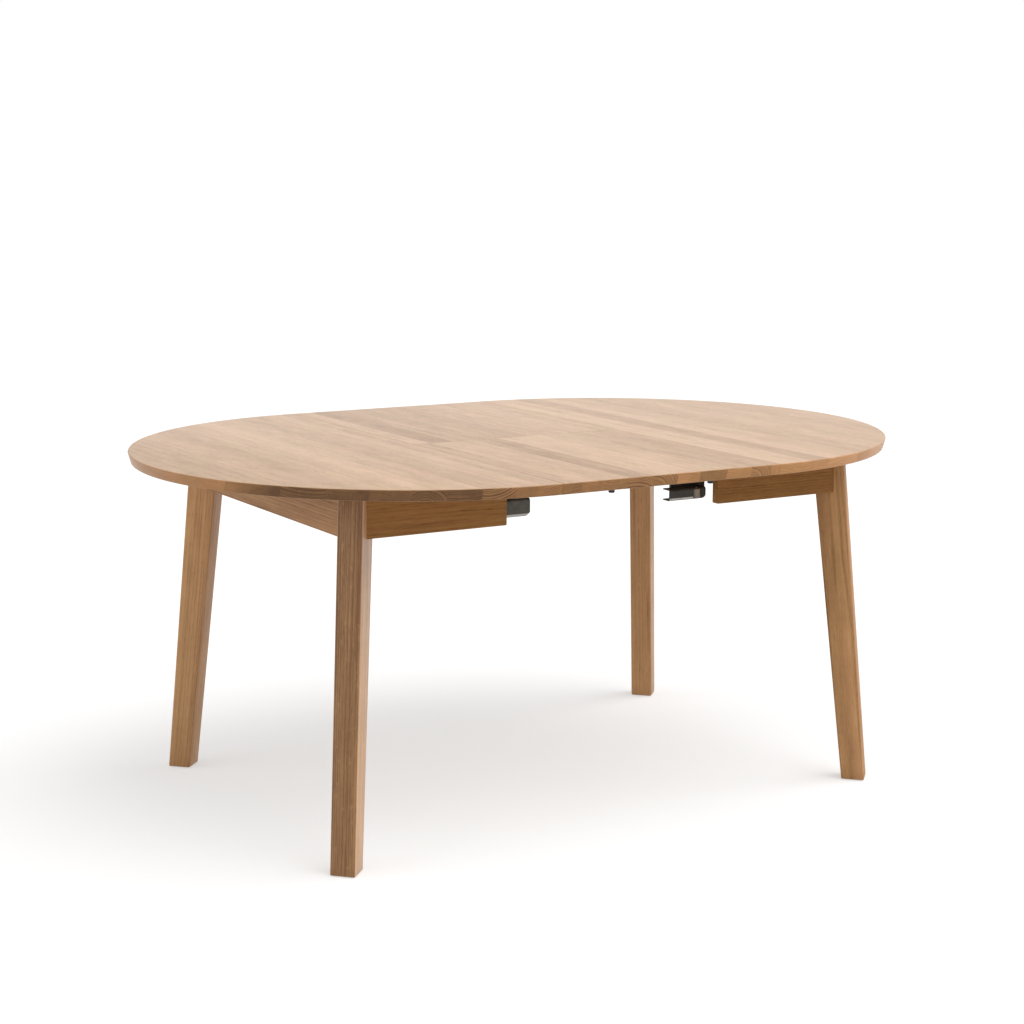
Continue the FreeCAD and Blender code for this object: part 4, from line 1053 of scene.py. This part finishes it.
def seen_directly(tree):
    """1 for rays from the camera or from a mirror or through glass, 0 for light on its way to a surface."""
    rays = add_node(tree, "LightPath").outputs
    shiny = calc(tree, "MAXIMUM", rays["Is Glossy Ray"], rays["Is Transmission Ray"])
    return calc(tree, "MAXIMUM", rays["Is Camera Ray"], shiny)


def soft_sun(name, toward, level, spread):
    """A distant broad lamp in a direction; level is what it adds to a white surface that faces it."""
    lamp = bpy.data.lights.new(name, "SUN")
    lamp.energy = level * math.pi
    lamp.angle = math.radians(spread)
    holder = bpy.data.objects.new(name, lamp)
    holder.rotation_mode = "QUATERNION"
    holder.rotation_quaternion = Vector(toward).to_track_quat("Z", "Y")
    bpy.context.scene.collection.objects.link(holder)


floor_mesh = bpy.data.meshes.new("studio_floor")
corners = [(FLOOR_REACH * x, FLOOR_REACH * y, 0.0) for x, y in ((-1, -1), (1, -1), (1, 1), (-1, 1))]
floor_mesh.from_pydata(corners, [], [(0, 1, 2, 3)])
studio_floor = bpy.data.objects.new("studio_floor", floor_mesh)
bpy.context.scene.collection.objects.link(studio_floor)
floor_paint = bpy.data.materials.new("studio_floor")
floor_paint.use_nodes = True
tree = floor_paint.node_tree
tree.nodes.clear()
matt = add_node(tree, "BsdfDiffuse", {"Color": FLOOR_COLOUR}).outputs[0]
lift = add_node(tree, "Emission", {"Color": WHITE, "Strength": FLOOR_LIFT}).outputs[0]
lifted = add_node(tree, "AddShader", {0: matt, 1: lift}).outputs[0]
upper_side = add_node(tree, "MixShader", {0: seen_directly(tree), 1: matt, 2: lifted}).outputs[0]
clear = add_node(tree, "BsdfTransparent").outputs[0]
from_below = add_node(tree, "NewGeometry").outputs["Backfacing"]
paint = add_node(tree, "MixShader", {0: from_below, 1: upper_side, 2: clear}).outputs[0]
add_node(tree, "OutputMaterial", {"Surface": paint})
floor_mesh.materials.append(floor_paint)

world = bpy.data.worlds.new("studio")
bpy.context.scene.world = world
world.use_nodes = True
tree = world.node_tree
tree.nodes.clear()
strength = remap(tree, seen_directly(tree), 0.0, 1.0, AMBIENT, 1.0)
light = add_node(tree, "Background", {"Color": WHITE, "Strength": strength}).outputs[0]
add_node(tree, "OutputWorld", {"Surface": light})

soft_sun("key", (0.34, -0.42, 0.95), 0.56, 56.0)
soft_sun("left", (-0.95, 0.10, 0.35), 0.24, 60.0)
soft_sun("right", (0.95, -0.15, 0.30), 0.26, 45.0)

forward = Vector((math.sin(CAMERA_YAW) * math.cos(CAMERA_PITCH),
                  math.cos(CAMERA_YAW) * math.cos(CAMERA_PITCH), -math.sin(CAMERA_PITCH)))
level = Vector((math.cos(CAMERA_YAW), -math.sin(CAMERA_YAW), 0.0))
upright = level.cross(forward)
right = level * math.cos(CAMERA_ROLL) + upright * math.sin(CAMERA_ROLL)
up = upright * math.cos(CAMERA_ROLL) - level * math.sin(CAMERA_ROLL)
camera = bpy.data.objects.new("camera", bpy.data.cameras.new("camera"))
camera.data.sensor_width = SENSOR_WIDTH
camera.data.lens = SENSOR_WIDTH * FOCAL_PIXELS / IMAGE_PIXELS
camera.matrix_world = Matrix((right, up, -forward)).transposed().to_4x4()
camera.location = CAMERA_PLACE
bpy.context.scene.collection.objects.link(camera)
bpy.context.scene.camera = camera
bpy.context.scene.view_settings.view_transform = "Standard"
